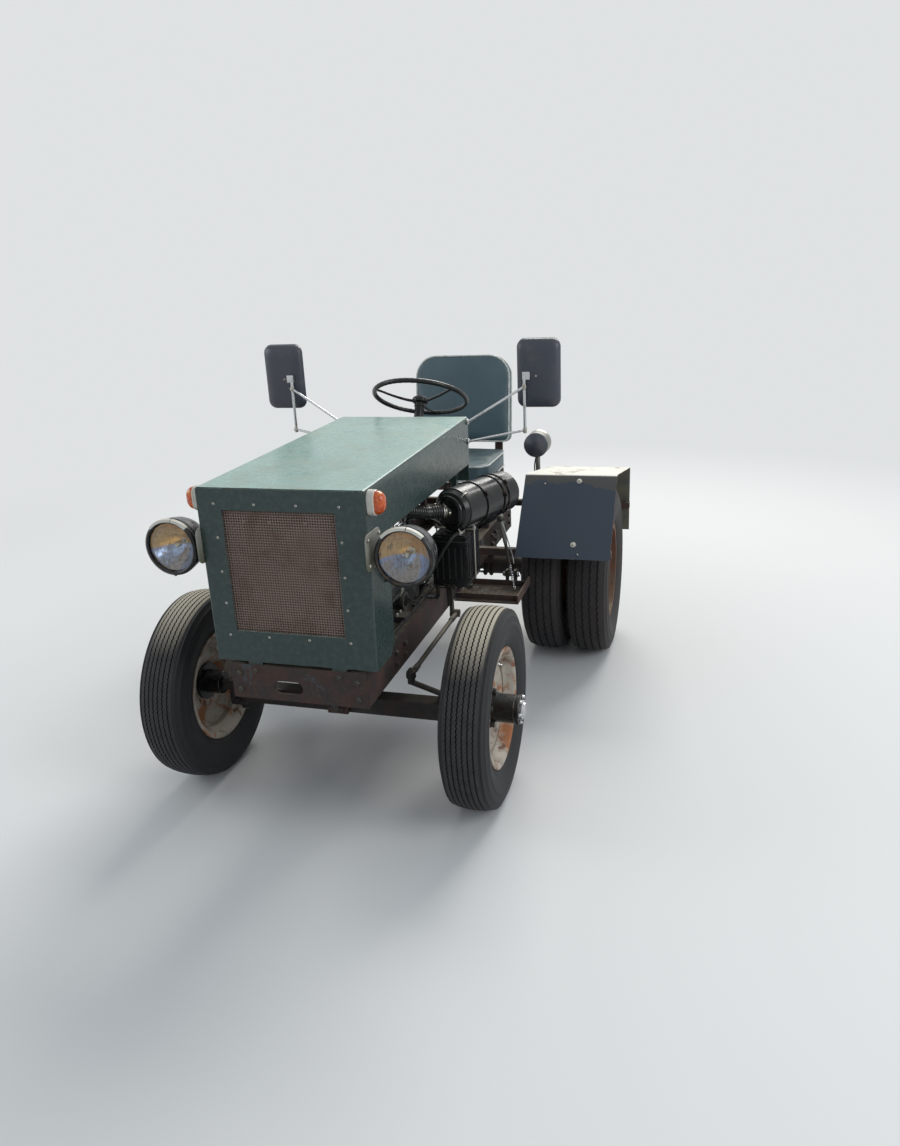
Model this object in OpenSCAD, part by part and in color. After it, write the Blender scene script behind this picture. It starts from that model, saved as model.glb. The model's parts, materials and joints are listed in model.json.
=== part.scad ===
// Small home-built farm tractor: channel frame, van axles, open four-cylinder engine,
// folded sheet nose, twin rear wheels. Front faces -Y, left side is +X, ground is Z = 0.
// Lengths along the tractor are measured rearwards from the face of the front panel.

/* [Axles] */
// Distance between the front and rear axles
wheelbase = 1387; // [1340:1:1430]
// Front axle behind the front panel's face
front_axle = 313; // [300:1:330]
// Centre of each front tyre from the middle
front_track_half = 531; // [525:1:545]
// Kingpin from the middle
kingpin_x = 388; // [384:1:392]
// Kingpin diameter
kingpin_d = 24; // [20:1:28]
// Square size of the front axle beam
beam = 62; // [54:1:64]
// Middle height of the front axle beam
beam_z = 319; // [315:1:322]
// Inner rear tyre's centre from the middle
twin_inner = 528; // [522:1:534]
// Distance between the middles of twin tyres
twin_pitch = 205; // [200:1:212]

/* [Tyres] */
// Front tyre outer diameter
front_tyre_d = 690; // [680:1:700]
// Front tyre width
front_tyre_w = 159; // [150:1:165]
// Front rim flange diameter
front_rim_d = 416; // [400:1:425]
// Rear tyre outer diameter
rear_tyre_d = 770; // [755:1:785]
// Rear tyre width
rear_tyre_w = 185; // [175:1:190]
// Rear rim flange diameter
rear_rim_d = 440; // [425:1:455]

/* [Frame] */
// Width over the two rails
frame_w = 470; // [460:1:480]
// Rail height
rail_h = 120; // [110:1:126]
// Underside of the rails above ground
rail_z = 465; // [458:1:475]
// Rail flange width
rail_flange = 55; // [45:1:60]
// Rail wall
rail_t = 7; // [5:1:9]
// Room behind the rear tyres to the end of the frame
tail_room = 15; // [10:1:30]

/* [Nose] */
// Width of the front panel
nose_w = 551; // [540:1:560]
// Lower edge of the front panel
nose_z0 = 596; // [590:1:604]
// Top of the hood at the front
nose_z1 = 1168; // [1155:1:1180]
// Top of the hood at the rear
hood_z2 = 1194; // [1185:1:1205]
// Hood length
hood_l = 1159; // [1140:1:1175]
// Lower edge of the hood's sides
hood_side_z = 1000; // [980:1:1015]
// Depth of the front panel's side returns
return_d = 165; // [150:1:180]
// Sheet thickness
sheet = 3; // [2:0.5:4]
// Width of the opening for the mesh
mesh_w = 372; // [350:1:385]
// Height of the opening for the mesh
mesh_h = 395; // [380:1:405]
// Middle height of the mesh
mesh_z = 900; // [890:1:905]
// The mesh sits this much to the right of the middle
mesh_off = 8; // [0:1:12]
// Distance between the bars of the mesh
mesh_pitch = 24; // [20:1:30]
// Width of a mesh bar
mesh_bar = 6; // [5:0.5:9]

/* [Lamps] */
// Headlamp centre from the middle
lamp_x = 385; // [380:1:392]
// Headlamp centre height
lamp_z = 972; // [960:1:985]
// Headlamp rim diameter
lamp_d = 184; // [175:1:190]
// Headlamp bucket depth
lamp_l = 120; // [110:1:130]
// Height of the turn lamp on the corner of the nose
indicator_z = 1118; // [1110:1:1122]
// Length of the turn lamp up the corner
indicator_h = 78; // [70:1:84]
// Width of the turn lamp along the side
indicator_w = 52; // [45:1:56]

/* [Engine] */
// Front of the engine block
block_y = 270; // [262:1:280]
// Engine block length
block_l = 420; // [400:1:430]
// Engine block width
block_w = 240; // [220:1:250]
// Crankshaft height
crank_z = 590; // [585:1:600]
// Top of the block
deck_z = 800; // [790:1:810]
// Height of the cylinder head
head_h = 85; // [75:1:90]
// Fan diameter
fan_d = 330; // [300:1:340]
// Radius of the clutch housing
bell_r = 165; // [150:1:168]
// Air cleaner diameter
cleaner_d = 158; // [150:1:165]
// Air cleaner length
cleaner_l = 380; // [350:1:390]

/* [Driver] */
// Steering wheel diameter
wheel_d = 425; // [400:1:440]
// Steering wheel hub behind the front panel
wheel_y = 1400; // [1390:1:1410]
// Steering wheel hub height
wheel_z = 1240; // [1230:1:1250]
// Lean of the steering column from upright
column_lean = 28; // [27:1:29]
// Width of the seat
seat_w = 500; // [460:1:520]
// Seat front edge
seat_y = 1600; // [1590:1:1610]
// Seat cushion depth
seat_l = 430; // [400:1:440]
// Underside of the seat cushion
seat_z = 800; // [790:1:810]
// Thickness of the seat cushion
seat_t = 105; // [90:1:115]
// Top of the backrest
back_z = 1360; // [1340:1:1380]
// Mirror centre from the middle
mirror_x = 555; // [545:1:565]
// Mirror head width
mirror_w = 175; // [160:1:185]
// Mirror head height
mirror_h = 270; // [250:1:280]
// Mirror centre height
mirror_z = 1355; // [1345:1:1365]

/* [Mudguards] */
// Inner edge of a mudguard from the middle
guard_x0 = 515; // [508:1:520]
// Outer edge of a mudguard from the middle
guard_x1 = 870; // [862:1:880]
// Height of a mudguard's front edge above the tyre
guard_rise = 185; // [175:1:195]
// Lower edge of a mudguard's front plate
guard_z0 = 590; // [588:1:600]
// Fall of a mudguard's top towards the rear
guard_fall = 150; // [130:1:160]
// Height of a mudguard's rear plate
guard_rear_h = 280; // [250:1:285]

/* [Steering] */
// Length of the steering arm and of the drop arm
arm_l = 120; // [116:1:122]
// Height of the drag link
drag_z = 440; // [436:1:444]
// Drop arm behind the front panel
drop_y = 900; // [890:1:915]

/* [Hitch] */
// Drawbar beyond the end of the frame
hitch_reach = 140; // [135:1:160]
// Bore for the trailer pin
hitch_bore = 26; // [22:1:30]
// Drawbar thickness
hitch_t = 20; // [16:1:24]

/* [Hidden] */
$fn = 48;

// Places along the tractor
rear_axle_y = front_axle + wheelbase;
frame_l = rear_axle_y + rear_tyre_d / 2 + tail_room;
hitch_end = frame_l + hitch_reach;
nose_reach = front_tyre_d / 2 - front_axle;
mid_y = (hitch_end - nose_reach) / 2;

// Clearances: a running shaft, faces of two bodies, and a pin's end play
fit = 0.05;
gap = 0.3;
play = 1;

// Frame
rail_x = frame_w / 2;
rail_top = rail_z + rail_h;
front_plate_t = 8;
cross_h = 40;
guard_front = 1230;
guard_bar = 30;
guard_z1 = rear_tyre_d + guard_rise;
guard_bars = [guard_front + sheet, frame_l - guard_bar];

// Gearbox: its middle height, the end of its tail and the crossmember under it
tail_d = 110;
gear_z = crank_z - 65;
gear_y = block_y + block_l + 130;
gear_l = 260;
gear_end = gear_y + gear_l + 100;
mount_h = 30;
mount_w = 50;
mount_y = gear_y + gear_l + mount_w / 2 + 5;

// Front axle and knuckles
pivot_d = 30;
pivot_plate = 12;
boss_r = 24;
lug_t = 16;
web_t = 20;
web_x = 28;
front_wheel_z = front_tyre_d / 2;
rear_wheel_z = rear_tyre_d / 2;
ball_x = kingpin_x - arm_l;
tie_back = 120;
tie_z = beam_z - beam / 2 - lug_t - play - 8;
rod_d = 18;
stub_d = 34;
hub_x0 = 470;
hub_x1 = 655;
hub_r = 49;

// Drop arm and steering box
box_shaft = 25;
drop_z = drag_z + arm_l;
drop_t = 12;
drop_x = rail_x + 8;

// Nose and hood
nose_x = nose_w / 2;

// Helpers
module placed() translate([0, -mid_y, 0]) children();

module both() {
    children();
    mirror([1, 0, 0]) children();
}

// A round bar from one point to another
module rod(from, to, d) {
    way = to - from;
    len = norm(way);
    translate(from) rotate([0, acos(way[2] / len), atan2(way[1], way[0])]) cylinder(h = len, d = d);
}

// A round bar that turns at each point of its path
module bent_rod(path, d) {
    for (i = [0:len(path) - 2]) rod(path[i], path[i + 1], d);
    for (i = [1:len(path) - 2]) translate(path[i]) rotate([31, 17, 0]) sphere(d = d * 1.06);
}

// A plate lying in the XZ plane, its front face at y
module plate_xz(x0, x1, z0, z1, y, t) translate([x0, y, z0]) cube([x1 - x0, t, z1 - z0]);

// A cylinder along X, Y or Z from a point
module along_x(p, d, l) translate(p) rotate([0, 90, 0]) cylinder(h = l, d = d);
module along_y(p, d, l) translate(p) rotate([-90, 0, 0]) cylinder(h = l, d = d);
module along_z(p, d, l) translate(p) cylinder(h = l, d = d);

// A solid turned about the X axis from a profile of [radius, x]
module turned_x(profile, steps = 64) rotate([90, 0, 90]) rotate_extrude($fn = steps) polygon(profile);

// A rounded box outline
module rounded(w, h, r) {
    square([w, h - 2 * r], center = true);
    square([w - 2 * r, h], center = true);
    for (sx = [-1, 1], sz = [-1, 1]) translate([sx * (w / 2 - r), sz * (h / 2 - r)]) circle(r = r);
}

// Frame: two rails with their webs outside, a front crossmember with the tow slot,
// the pivot bracket for the front axle, crossmembers and the two bars for the mudguards
module rail() {
    translate([0, front_plate_t, 0]) rotate([-90, 0, 0]) linear_extrude(frame_l - front_plate_t)
        polygon([
            [rail_x - rail_flange, -rail_z], [rail_x, -rail_z], [rail_x, -rail_top],
            [rail_x - rail_flange, -rail_top], [rail_x - rail_flange, -rail_top + rail_t],
            [rail_x - rail_t, -rail_top + rail_t], [rail_x - rail_t, -rail_z - rail_t],
            [rail_x - rail_flange, -rail_z - rail_t]
        ]);
}

slot_w = 100;
slot_h = 44;
module front_crossmember() {
    difference() {
        plate_xz(-rail_x, rail_x, rail_z, rail_top, 0, front_plate_t);
        translate([-36, -1, rail_z + 48]) rotate([-90, 0, 0]) linear_extrude(front_plate_t + 2)
            rounded(slot_w, slot_h, slot_h / 2 - 0.5);
    }
    for (z = [rail_z, rail_top - rail_t])
        translate([-rail_x + rail_flange, front_plate_t, z])
            cube([frame_w - 2 * rail_flange, 50, rail_t]);
}

// A box-section crossmember between the rails
module crossmember(y, w, z, h) {
    translate([-rail_x + rail_t, y - w / 2, z]) cube([frame_w - 2 * rail_t, w, h]);
}

// Crossmember under the gearbox's tail, on end plates inside the rails
module gearbox_mount() {
    z = gear_z - tail_d / 2 - gap - mount_h;
    crossmember(mount_y, mount_w, z, mount_h);
    both() translate([rail_x - rail_t - 8, mount_y - mount_w / 2, z])
        cube([8, mount_w, rail_top - rail_t - z]);
}

bracket_top = 130;
bracket_low = 76;
module pivot_bracket() {
    drop = rail_z - (beam_z - 34);
    for (side = [-1, 1]) {
        y = front_axle + side * (beam / 2 + gap + pivot_plate / 2) - pivot_plate / 2;
        translate([0, y + pivot_plate, rail_z]) rotate([90, 0, 0]) linear_extrude(pivot_plate)
            polygon([
                [-bracket_top / 2, 0], [bracket_top / 2, 0], [bracket_low / 2, -drop], [-bracket_low / 2, -drop]
            ]);
    }
    pin_l = beam + 2 * (pivot_plate + gap) + 12;
    along_y([0, front_axle - pin_l / 2, beam_z], pivot_d, pin_l);
}

module frame() {
    color("saddlebrown") placed() {
        difference() {
            union() {
                both() rail();
                crossmember(front_axle, beam + 2 * pivot_plate + 26, rail_z, cross_h);
                gearbox_mount();
                crossmember(frame_l - 30, 60, rail_z, rail_h);
            }
            along_x([rail_x - 30, drop_y, drop_z], box_shaft + 8, 60);
        }
        front_crossmember();
        pivot_bracket();
        // Bars across the rails that carry the mudguards
        for (y = guard_bars)
            translate([-guard_x1 + 20, y, rail_top]) cube([2 * guard_x1 - 40, guard_bar, guard_bar]);
    }
}

// Front axle beam: a box section with a boss for each kingpin
module front_axle_beam() {
    color("saddlebrown") placed() difference() {
        union() {
            translate([-kingpin_x + 16, front_axle - beam / 2, beam_z - beam / 2])
                cube([2 * kingpin_x - 32, beam, beam]);
            both() along_z([kingpin_x, front_axle, beam_z - beam / 2], 2 * boss_r, beam);
        }
        both() along_z([kingpin_x, front_axle, beam_z - beam], kingpin_d + 2 * fit, 2 * beam);
        along_y([0, front_axle - beam, beam_z], pivot_d + 2 * fit, 2 * beam);
    }
}

// Knuckle: two lugs round the beam's boss, a web, a stub axle and the tie rod arm
module lug(z) {
    along_z([kingpin_x, front_axle, z], 2 * boss_r + 4, lug_t);
    translate([kingpin_x, front_axle - boss_r - 2, z]) cube([web_x + web_t, 2 * boss_r + 4, lug_t]);
}

module knuckle() {
    z_low = beam_z - beam / 2 - lug_t - play;
    z_top = beam_z + beam / 2 + play;
    lug(z_low);
    lug(z_top);
    along_z([kingpin_x, front_axle, z_low], kingpin_d, z_top + lug_t - z_low + 8);
    translate([kingpin_x + web_x, front_axle - boss_r - 2, z_low])
        cube([web_t, 2 * boss_r + 4, z_top + lug_t - z_low]);
    along_x([kingpin_x + web_x, front_axle, front_wheel_z], stub_d + 14, 40);
    along_x([kingpin_x + web_x, front_axle, front_wheel_z], stub_d, hub_x1 - 12 - kingpin_x - web_x);
    // Tie rod arm, forged in one with the lower lug
    translate([kingpin_x, front_axle, z_low - 8]) {
        cylinder(h = 8.5, d = 40);
        translate([-11, 0, 0]) cube([22, tie_back, 8]);
        translate([0, tie_back, 0]) cylinder(h = 8, d = 30);
    }
}

module knuckle_left() {
    z_arm = beam_z + beam / 2 + play + lug_t;
    color("dimgray") placed() {
        knuckle();
        // Steering arm that reaches inwards to the drag link
        rod([kingpin_x, front_axle, z_arm + 6], [ball_x, front_axle, drag_z - 28], 20);
        along_z([kingpin_x, front_axle, z_arm - 2], 40, 18);
        along_z([ball_x, front_axle, drag_z - 32], 26, 32 - socket_h / 2 - gap);
    }
}

module knuckle_right() {
    color("dimgray") placed() mirror([1, 0, 0]) knuckle();
}

// A rod between two ball joints whose sockets sit on a pair of arms
socket_h = 26;
module socket(p) {
    along_z([p[0], p[1], p[2] - socket_h / 2], 30, socket_h);
}

module tie_rod() {
    z = tie_z - socket_h / 2 - gap;
    color("gray") placed() {
        both() socket([kingpin_x, front_axle + tie_back, z]);
        along_x([-kingpin_x, front_axle + tie_back, z], rod_d, 2 * kingpin_x);
    }
}

module drag_link() {
    color("silver") placed() {
        socket([ball_x, front_axle, drag_z]);
        along_y([ball_x, front_axle, drag_z], rod_d, drop_y - front_axle);
        along_x([drop_x + drop_t + gap, drop_y, drag_z], 32, ball_x + 12 - drop_x - drop_t);
    }
}

module drop_arm() {
    color("dimgray") placed() {
        along_x([rail_x - 40, drop_y, drop_z], box_shaft, 48 + drop_t);
        along_x([drop_x, drop_y, drop_z], 44, drop_t);
        translate([drop_x, drop_y - 13, drag_z]) cube([drop_t, 26, arm_l]);
        along_x([drop_x, drop_y, drag_z], 34, drop_t);
    }
}

// Tyres: half profile as share of the section height and of the half width
function tyre_profile(r, bead, w, seat) = let (h = r - bead, side = [
    // share of height, share of the way from the seat to the half width
    [0.12, 0.00], [0.40, 0.92], [0.64, 1.00], [0.90, 0.84], [1.00, 0.62]
]) concat(
    [[bead, -seat]], [for (s = side) [bead + s[0] * h, -seat - s[1] * (w / 2 - seat)]],
    [for (i = [len(side) - 1:-1:0]) [bead + side[i][0] * h, seat + side[i][1] * (w / 2 - seat)]],
    [[bead, seat]]
);

// Radius lost from a rim's flange down to its bead seat
bead_step = 18;
// Where a bead sits, as a share of the tyre's width from its middle
bead_share = 0.36;
tyre_steps = 40;
module tyre(x, d, rim_d, w, y) {
    color([0.08, 0.08, 0.08]) translate([x, y, d / 2])
        turned_x(tyre_profile(d / 2, rim_d / 2 - bead_step, w, w * bead_share), tyre_steps);
}

// A pressed steel rim: flanges, bead seats, drop centre, and a dished disc at x = disc
function rim_profile(d, w, wall, well) = let (f = d / 2, b = d / 2 - bead_step, s = w / 2) [
    [f, -s - wall], [f, -s], [b, -s], [b, -s + 22], [b - well, -s + 34], [b - well, s - 34],
    [b, s - 22], [b, s], [f, s], [f, s + wall], [b - wall, s + wall], [b - wall, s - 20],
    [b - well - wall, s - 34], [b - well - wall, 34 - s], [b - wall, 20 - s], [b - wall, -s - wall]
];

rim_wall = 5;
module rim(x, d, tyre_w, disc, inner_r, well) {
    seat = tyre_w * bead_share;
    r_well = d / 2 - bead_step - well - rim_wall;
    edge = min(disc * 0.45, seat - 40);
    translate([x, 0, 0]) {
        turned_x(rim_profile(d, 2 * seat, rim_wall, well));
        turned_x([
            [r_well + 2, edge - 3], [r_well + 2, edge + 3], [r_well - 30, disc + 4],
            [inner_r, disc + 4], [inner_r, disc - 4], [r_well - 34, disc - 4]
        ]);
    }
}

module front_tyre_left() placed() tyre(front_track_half, front_tyre_d, front_rim_d, front_tyre_w, front_axle);
module front_tyre_right() placed() mirror([1, 0, 0])
    tyre(front_track_half, front_tyre_d, front_rim_d, front_tyre_w, front_axle);

front_disc = 20;
module front_wheel() {
    color("gainsboro") translate([0, front_axle, front_wheel_z]) {
        rim(front_track_half, front_rim_d, front_tyre_w, front_disc, hub_r - 1, 16);
        turned_x([
            [stub_d / 2 + fit, hub_x0], [hub_r - 6, hub_x0], [hub_r - 6, front_track_half + 4],
            [68, front_track_half + 6], [68, front_track_half + front_disc - 4],
            [hub_r, front_track_half + front_disc - 4], [hub_r, hub_x1], [33, hub_x1], [33, hub_x1 + 10],
            [26, hub_x1 + 15], [0, hub_x1 + 15], [0, hub_x1 - 6], [stub_d / 2 + fit, hub_x1 - 6]
        ]);
    }
}
module front_wheel_left() placed() front_wheel();
module front_wheel_right() placed() mirror([1, 0, 0]) front_wheel();

module rear_tyres() for (i = [0, 1])
    tyre(twin_inner + i * twin_pitch, rear_tyre_d, rear_rim_d, rear_tyre_w, rear_axle_y);
module rear_tyres_left() placed() rear_tyres();
module rear_tyres_right() placed() mirror([1, 0, 0]) rear_tyres();

drum_r = 140;
drum_x = 474;
rear_hub_r = 80;
module rear_wheels() {
    join = twin_inner + twin_pitch / 2;
    color("sienna") translate([0, rear_axle_y, rear_wheel_z]) {
        rim(twin_inner, rear_rim_d, rear_tyre_w, twin_pitch / 2 - 4, rear_hub_r - 1, 18);
        translate([2 * (twin_inner + twin_pitch), 0, 0]) mirror([1, 0, 0])
            rim(twin_inner + twin_pitch, rear_rim_d, rear_tyre_w, twin_pitch / 2 - 4, rear_hub_r - 1, 18);
        turned_x([
            [0, drum_x + 30], [drum_r - 8, drum_x + 30], [drum_r - 8, drum_x], [drum_r, drum_x],
            [drum_r, join - 40], [120, join - 8], [rear_hub_r, join - 8], [rear_hub_r, join + 20],
            [62, join + 60], [48, join + 62], [44, join + 100], [0, join + 104]
        ]);
    }
}
module rear_wheels_left() placed() rear_wheels();
module rear_wheels_right() placed() mirror([1, 0, 0]) rear_wheels();

// Rear axle: tubes, backing plates, banjo housing and the pads under the rails
axle_tube = 90;
banjo_r = 135;
module rear_axle() {
    back_plate_x = drum_x - 12;
    color("saddlebrown") placed() {
        along_x([-back_plate_x, rear_axle_y, rear_wheel_z], axle_tube, 2 * back_plate_x);
        both() along_x([back_plate_x - 8, rear_axle_y, rear_wheel_z], 2 * drum_r - 30, 10);
        both() along_x([back_plate_x, rear_axle_y, rear_wheel_z], 60, drum_x + 30 - gap - back_plate_x);
        translate([0, rear_axle_y, rear_wheel_z]) rotate([90, 0, 0]) {
            translate([0, 0, -55]) cylinder(h = 120, r = banjo_r);
            translate([0, 0, 65]) cylinder(h = 30, r1 = banjo_r - 10, r2 = banjo_r - 60);
            translate([0, 0, -55]) mirror([0, 0, 1]) cylinder(h = 35, r1 = banjo_r - 8, r2 = banjo_r - 45);
        }
        along_y([0, rear_axle_y - axle_nose, rear_wheel_z], 100, 130);
        // Pads that clamp the axle to the rails
        both() translate([rail_x - rail_flange, rear_axle_y - 60, rear_wheel_z + 25])
            cube([rail_flange, 120, rail_z - rear_wheel_z - 25]);
    }
}

// Drawbar: a tongue on the rear crossmember with a bore for the trailer pin
hitch_z = rail_z - hitch_t;
module drawbar() {
    tongue_w = 80;
    color("dimgray") placed() difference() {
        union() {
            translate([-tongue_w / 2, frame_l - 260, hitch_z])
                cube([tongue_w, hitch_end - frame_l + 260 - tongue_w / 2, hitch_t]);
            along_z([0, hitch_end - tongue_w / 2, hitch_z], tongue_w, hitch_t);
        }
        along_z([0, hitch_end - tongue_w / 2, hitch_z - 1], hitch_bore, hitch_t + 2);
    }
}

// The pulleys all stand in one plane in front of the block: [radius, x, z]
belt_y = block_y - 50;
belt_w = 24;
groove = 8;
crank_pulley = [75, 0, crank_z];
generator_pulley = [38, block_w / 2 + 62, deck_z - 60];
pump_pulley = [50, 0, deck_z - 30];

// A pulley with one groove, its front face at y
module pulley(p, y) {
    r = p[0];
    translate([p[1], y, p[2]]) rotate([-90, 0, 0]) rotate_extrude() polygon([
        [0, 0], [r, 0], [r, 2], [r - groove, 7],
        [r - groove, belt_w - 7], [r, belt_w - 2], [r, belt_w], [0, belt_w]
    ]);
}

// Outline of the belt round three pulleys in [x, z], at a height over the grooves' floor
function tangent(a, b, over) = let (
    way = [b[1] - a[1], b[2] - a[2]], t = atan2(way[1], way[0]) - acos((a[0] - b[0]) / norm(way)),
    n = [cos(t), sin(t)]
) [
    [a[1], a[2]] + (a[0] - groove + over) * n, [b[1], b[2]] + (b[0] - groove + over) * n
];
module belt_outline(over) {
    ring = [crank_pulley, generator_pulley, pump_pulley];
    for (p = ring) translate([p[1], p[2]]) circle(r = p[0] - groove + over);
    polygon([for (i = [0:2]) each tangent(ring[i], ring[(i + 1) % 3], over)]);
}

// Engine: crankcase with pan, cylinder block, water pump and oil filter
pump_y = block_y - 20;
sump_z = 430;
foot_w = 60;
filter_p = [block_w / 2, block_y + 177, deck_z - 140];
module engine_block() {
    pan_z = rail_z + cross_h + 12;
    color("dimgray") placed() {
        translate([-block_w / 2, block_y, crank_z - 20]) cube([block_w, block_l, deck_z - crank_z + 20]);
        translate([-block_w / 2 + 20, block_y + 20, pan_z])
            cube([block_w - 40, block_l - 40, crank_z - 20 - pan_z]);
        translate([-95, block_y + 160, sump_z]) cube([190, block_l - 180, pan_z - sump_z + 1]);
        // Engine feet out to the rails
        both() translate([block_w / 2 - 5, block_y + 150, rail_top])
            cube([rail_x - block_w / 2 - 10, foot_w, 22]);
        // Crankshaft pulley and the water pump's housing
        along_y([0, belt_y, crank_z], 60, block_y - belt_y + 1);
        pulley(crank_pulley, belt_y);
        along_y([0, pump_y, pump_pulley[2]], 104, block_y - pump_y + 1);
        // Oil filter low on the left side
        along_x(filter_p - [1, 0, 0], 40, 12);
        along_x(filter_p + [10, 0, 0], 66, 88);
    }
}

inlet_x = block_w / 2 + 40;
carb_y = block_y + 190;
carb_d = 64;
carb_top = deck_z + 115;
outlet_x = 90;
outlet_y = block_y + 30;
outlet_d = 40;
outlet_top = deck_z + head_h + 36;
module cylinder_head() {
    top = deck_z + head_h;
    color("slategray") placed() {
        translate([-block_w / 2 + 15, block_y + 5, deck_z]) cube([block_w - 30, block_l - 10, head_h]);
        translate([0, block_y + 20, top]) rotate([-90, 0, 0]) linear_extrude(block_l - 40) rounded(130, 90, 24);
        // Inlet manifold and carburettor
        along_y([inlet_x, block_y + 50, deck_z + 45], 46, block_l - 90);
        for (i = [0:3])
            along_x([block_w / 2 - 20, block_y + 66 + i * 92, deck_z + 45], 34, inlet_x - block_w / 2 + 20);
        along_z([inlet_x, carb_y, deck_z + 45], carb_d, carb_top - deck_z - 45);
        along_z([inlet_x, carb_y, carb_top - 30], carb_d + 16, 12);
        // Thermostat housing at the front, distributor at the rear
        along_z([outlet_x, outlet_y, top], outlet_d, outlet_top - top);
        along_z([outlet_x, block_y + block_l - 50, top], 34, 32);
        along_z([outlet_x, block_y + block_l - 50, top + 30], 46, 36);
    }
}

// Exhaust on the right: manifold, down pipe, silencer and tail pipe
pipe_d = 44;
down_y = 740;
silencer_y = 830;
silencer_l = 300;
silencer_z = 375;
module exhaust() {
    x = -block_w / 2 - 28;
    out_x = -rail_x - pipe_d / 2 - 8;
    silencer_x = out_x - 40;
    tail_y = silencer_y + silencer_l;
    color("sienna") placed() {
        along_y([x, block_y + 50, deck_z + 40], 52, block_l - 90);
        for (i = [0:3]) along_x([x, block_y + 66 + i * 92, deck_z + 40], 38, 43);
        bent_rod([
            [x, block_y + block_l - 60, deck_z + 40], [x, down_y - 20, deck_z + 20],
            [out_x, down_y, deck_z - 80], [out_x, down_y, silencer_z + 45],
            [silencer_x, down_y + 50, silencer_z], [silencer_x, silencer_y + 1, silencer_z]
        ], pipe_d);
        along_y([silencer_x, silencer_y, silencer_z], 110, silencer_l);
        bent_rod([
            [silencer_x, tail_y, silencer_z], [silencer_x, tail_y + 50, silencer_z],
            [silencer_x - 140, tail_y + 102, silencer_z]
        ], pipe_d);
    }
}

module generator() {
    color("black") placed() {
        along_y([generator_pulley[1], block_y - 10, generator_pulley[2]], 110, 150);
        along_y([generator_pulley[1], belt_y, generator_pulley[2]], 24, 50);
        pulley(generator_pulley, belt_y);
        translate([block_w / 2, block_y + 30, deck_z - 80]) cube([30, 60, 30]);
        // Belt in the grooves
        translate([0, belt_y + belt_w / 2 + 4.5, 0]) rotate([90, 0, 0]) linear_extrude(9) difference() {
            belt_outline(groove);
            belt_outline(gap);
        }
    }
}

// Fan on the water pump's shaft
fan_y = block_y - 95;
fan_z = pump_pulley[2];
blades = 4;
module fan() {
    color("gray") placed() translate([0, fan_y, fan_z]) rotate([-90, 0, 0]) {
        cylinder(h = pump_y - fan_y - gap, d = 28);
        cylinder(h = 12, d = 90);
        for (i = [0:blades - 1]) rotate([0, 0, i * 360 / blades])
            translate([30, -28, 4]) rotate([24, 0, 0]) cube([fan_d / 2 - 32, 62, 3]);
    }
    color("gray") placed() pulley(pump_pulley, belt_y);
}

// Radiator between the rails behind the mesh
rad_y = 52;
rad_t = 60;
rad_w = 420;
core_z0 = 680;
core_z1 = 1040;
tank_h = 70;
foot_z = core_z0 - 55;
water_hose_d = 36;
module radiator() {
    tank_x = rad_w / 2 + 6;
    color("black") placed() {
        plate_xz(-rad_w / 2, rad_w / 2, core_z0, core_z1, rad_y, rad_t);
        plate_xz(-tank_x, tank_x, core_z1, core_z1 + tank_h, rad_y - 8, rad_t + 16);
        plate_xz(-tank_x, tank_x, foot_z, core_z0, rad_y - 8, rad_t + 16);
        both() translate([tank_x - 14, rad_y, rail_top]) cube([14, rad_t, foot_z - rail_top]);
        along_z([60, rad_y + rad_t / 2, core_z1 + tank_h], 50, 26);
        // Side channels
        both() translate([rad_w / 2, rad_y - 4, core_z0]) cube([6, rad_t + 8, core_z1 - core_z0]);
        // Top hose to the thermostat housing, bottom hose to the block's right front corner
        bent_rod([
            [outlet_x, rad_y + rad_t, core_z1 + 35], [outlet_x, outlet_y - 90, core_z1 + 30],
            [outlet_x, outlet_y - 25, core_z1 - 10], [outlet_x, outlet_y, core_z1 - 70],
            [outlet_x, outlet_y, outlet_top + gap]
        ], water_hose_d);
        bent_rod([
            [-165, rad_y + rad_t, foot_z + 25], [-165, block_y - 70, foot_z + 25],
            [-100, block_y - 30, foot_z + 25], [-100, block_y - gap, foot_z + 25]
        ], water_hose_d);
    }
}

// Gearbox: clutch housing, box, tail and the prop shaft to the rear axle
prop_d = 56;
flange_t = 16;
axle_nose = 199;
module gearbox() {
    y0 = block_y + block_l;
    flange_y = rear_axle_y - axle_nose - gap - flange_t;
    color("dimgray") placed() {
        // The clutch housing, flat underneath
        intersection() {
            along_y([0, y0, crank_z], 2 * bell_r, 30);
            translate([-bell_r, y0, crank_z - bell_r + 7]) cube([2 * bell_r, 30, 2 * bell_r]);
        }
        translate([0, y0 + 30, crank_z]) rotate([-90, 0, 0]) cylinder(h = 110, r1 = bell_r - 5, r2 = 100);
        translate([-90, gear_y, gear_z - 70]) cube([180, gear_l, 140]);
        along_y([0, gear_y + gear_l, gear_z], tail_d, gear_end - gear_y - gear_l);
        // Prop shaft with its two joints
        rod([0, gear_end, gear_z], [0, flange_y + flange_t / 2 - 12, rear_wheel_z + 2], prop_d);
        along_y([0, gear_end - 2, gear_z], 86, flange_t);
        along_y([0, flange_y, rear_wheel_z], 86, flange_t);
    }
}

// Air cleaner: a round can with a domed front end, lying aslant beside the engine
cleaner_p = [332, 640, 935];
cleaner_turn = 20;
hose_d = 46;
leg_run = 245;
leg_w = 40;
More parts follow.
